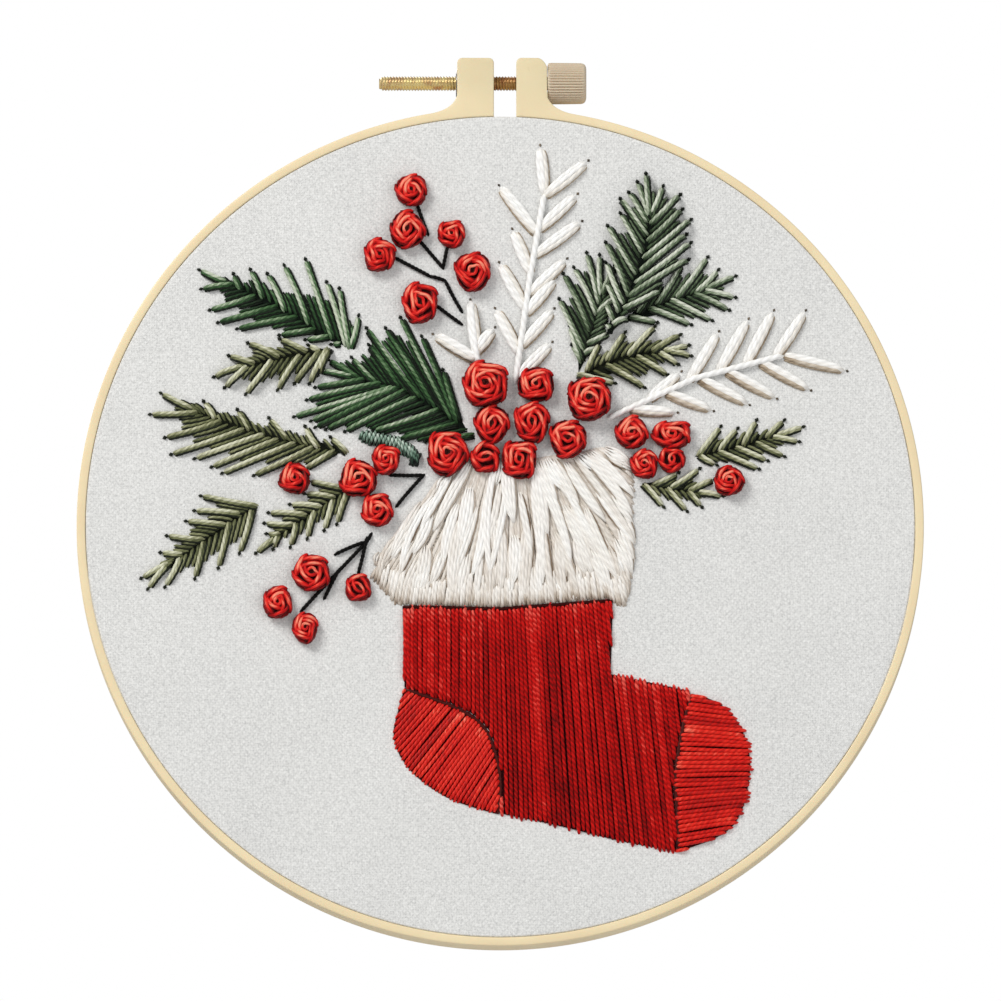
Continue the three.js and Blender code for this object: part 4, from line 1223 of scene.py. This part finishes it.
def add_linen():
    """Linen drawn over the inner hoop, turned in behind it and gathered."""
    steps = 552
    angle = np.arange(steps) * 2 * np.pi / steps
    front, turn, edge = -4.3, 0.42, 97.9
    rows = []
    for radius in np.concatenate([[0.4, 1.5], np.linspace(4, 92, 34), [94.5, 96, edge - turn]]):
        rows.append((radius * np.ones(steps), np.full(steps, front)))
    for t in np.radians([22, 45, 68, 90]):
        rows.append((np.full(steps, edge - turn + turn * math.sin(t)), np.full(steps, front + turn * (1 - math.cos(t)))))
    for depth in (-2.0, -0.5, 1.0, 2.4):
        rows.append((np.full(steps, HEM_OUTER), np.full(steps, depth)))
    for t in np.radians([25, 50, 75, 90]):
        rows.append((np.full(steps, HEM_OUTER - 0.9 + 0.9 * math.cos(t)), np.full(steps, 2.9 + 0.88 * math.sin(t))))
    for radius in np.linspace(95.5, HEM_INNER, 34):
        sway = 0.7 * np.sin(PLEATS * angle * 0.5 + 0.8) * np.clip((80 - radius) / 10, 0, 1)
        rows.append((radius + sway, hem_depth(radius, angle)))
    points = np.vstack([np.column_stack([r * np.cos(angle), y, r * np.sin(angle)]) for r, y in rows])
    middle = len(points)
    points = np.vstack([points, [[0, front, 0]]])
    faces = sheet_faces(len(rows), steps).tolist()
    faces += [[(i + 1) % steps, i, middle] for i in range(steps)]
    linen = add_object("ground_linen", around(points), faces, linen_material())
    mend(linen, 80)
    thick = linen.modifiers.new("cloth", "SOLIDIFY")
    thick.thickness = 0.42 * MM
    thick.offset = -1
    thick.use_rim = True
    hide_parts("ground_fabric")
    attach(linen, PANEL)
    return linen


def add_inner_hoop():
    outer, inner = 96.75, 94.25
    profile = [
        (inner + 0.35, -3.4), (outer - 0.5, -3.4), (outer - 0.15, -3.25), (outer, -2.9), (outer, 2.5),
        (outer - 0.15, 2.85), (outer - 0.5, 3.0), (inner + 0.35, 3.0), (inner + 0.1, 2.9), (inner, 2.65),
        (inner, -3.05), (inner + 0.1, -3.3),
    ]
    ring = add_turned("inner_hoop_ring", profile, hoop_material("inner_cream_plastic", (236, 218, 178), (228, 208, 168), 0.45))
    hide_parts("inner_hoop")
    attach(ring, PANEL)


def add_gathering_thread():
    """A running stitch in and out through the pleats of the hem, with its knot and two tails."""
    stitches = Stitches()
    angle = np.linspace(0.06, 2 * np.pi - 0.02, 1400) + np.pi / 2
    radius = HEM_INNER + 1.6 + 0.25 * np.sin(7 * angle)
    weave = np.sin(PLEATS * angle * 0.5)
    depth = hem_depth(radius, angle) + 0.1 + np.clip(weave * 2.2, -0.8, 0.34)
    path = np.column_stack([radius * np.cos(angle), radius * np.sin(angle), -4.3 - depth])
    stitches.thread(path, 0.3, [0.7, 0.85, 0.75, 0.9, 0.7], pitch=1.6, floor=-8, dive=(False, False), step=0.4, sides=6, taper=0)
    knot = path[0]
    for phase in (0.0, 1.3, 2.6):
        t = np.linspace(0, 2 * np.pi, 22)
        loop = np.column_stack([
            knot[0] + 0.95 * np.cos(t + phase) + 0.2 * phase,
            knot[1] + 0.7 * np.sin(t) - 0.1 * phase,
            knot[2] - 0.2 + 0.25 * np.sin(2 * t + phase),
        ])
        stitches.thread(loop, 0.3, 0.8, pitch=1.6, floor=-8, dive=(False, False), sides=6, taper=0)
    for reach, drop in ((4.5, -6.5), (-3.0, -8.0)):
        t = np.linspace(0, 1, 12)
        tail = np.column_stack([
            knot[0] + reach * t + 0.6 * np.sin(5 * t),
            knot[1] + drop * t**1.3,
            np.full(12, -8.3) + 0.9 * t,
        ])
        stitches.thread(tail, 0.27, 0.8, pitch=1.6, floor=-8, dive=(False, False), sides=6, taper=0)
    return stitches.finish("gathering_thread_stitches", thread_material("hem_cotton", WHITE_STOPS, groove=0.4), "gathering_thread")


# ---------------------------------------------------------------- build

add_camera()
add_studio()


def shadow_material(name, rgb):
    """A padding sheet's colour with a fine mottle, seen only in the gaps between threads: the dark ones are painted
    shade there, the cream one is the wool's own colour.
    """
    shade = Shade(name, Roughness=0.9, Specular_IOR_Level=0.1)
    grain = shade.noise(shade.place(), 1800, 2.0)
    dim = tuple(v * 0.55 for v in rgb)
    return shade.wire(Base_Color=shade.ramp(grain, [(0.35, linear(*dim)), (0.65, linear(*rgb))]), Normal=shade.bump(grain, 0.5, 0.0001))


# the dark red and green sheets are painted shade between threads; the cream one is the wool's colour
SHADOWS = {
    "deep_red_thread": shadow_material("deep_red_painted_shade", (52, 2, 5)),
    "bright_red_thread": shadow_material("bright_red_painted_shade", (74, 4, 4)),
    "cream_wool": shadow_material("cream_padding", (236, 226, 212)),
    "berry_thread": shadow_material("berry_painted_shade", (58, 5, 5)),
    "dark_pine_thread": shadow_material("pine_painted_shade", (14, 22, 16)),
    "olive_thread": shadow_material("olive_painted_shade", (24, 27, 16)),
    "teal_thread": shadow_material("teal_painted_shade", (20, 32, 26)),
}

nodes = sorted(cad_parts)
DARK_SPRIGS = {
    "pine_sprig_far_left_dark": (PINE_STOPS, {"tone": 0.6, "pale": lambda tip, root: root[0] > -52 and tip[1] > root[1]}),
    "pine_sprig_centre_dark": (PINE_STOPS, {"tone": 0.49, "fill_tone": 0.36, "fill_reach": 0.88}),
    "pine_sprig_right_main": (SPRUCE_STOPS, {"tone": 0.71, "fill_tone": 0.44, "fill_reach": 0.75}),
    "pine_sprig_right_inner": (SPRUCE_STOPS, {"tone": 0.64, "fill_tone": 0.38, "fill_reach": 0.75}),
    "pine_sprig_right_outer": (SPRUCE_STOPS, {"tone": 0.7, "fill_tone": 0.46, "fill_reach": 0.7}),
}
for node in nodes:
    if node == "pine_sprig_short_teal":
        add_wrapped_sprig(node)
    elif node in DARK_SPRIGS:
        stops, looks = DARK_SPRIGS[node]
        add_sprig(node, stops, "dark_pine_thread", **looks)
    elif node.startswith("pine_sprig"):
        add_sprig(node, OLIVE_STOPS, "olive_thread", 0.7, 0.46)
    elif node.startswith("white_frond"):
        add_frond(node)

add_satin("stocking_leg", leg_lines(), DEEP_RED_STOPS, "deep_red_thread", 0.5, 0.3, "stocking_cuff", 0.7, plies=0.1, vary=0.15, flecks=0.1, groove=0.42, streaks=0.5, specular=0.16)
add_satin("stocking_heel", heel_lines(), BRIGHT_RED_STOPS, "bright_red_thread", 0.465, 0.14, "stocking_leg", vary=0.17)
add_satin("stocking_toe", toe_lines(), BRIGHT_RED_STOPS, "bright_red_thread", 0.51, 0.14, "stocking_leg", 0.9, vary=0.17)
add_cuff()
add_stems()
berry_thread = thread_material("berry_floss", BERRY_STOPS, 0.42, 0.3, 0.15, 0.3, (1, 0.42, 0.36), 0.05)
for node in nodes:
    if node.startswith("berry_"):
        add_berry(node, berry_thread)

add_outer_hoop()
add_screw()
add_nut()
add_knob()
add_inner_hoop()
linen = add_linen()
add_gathering_thread()
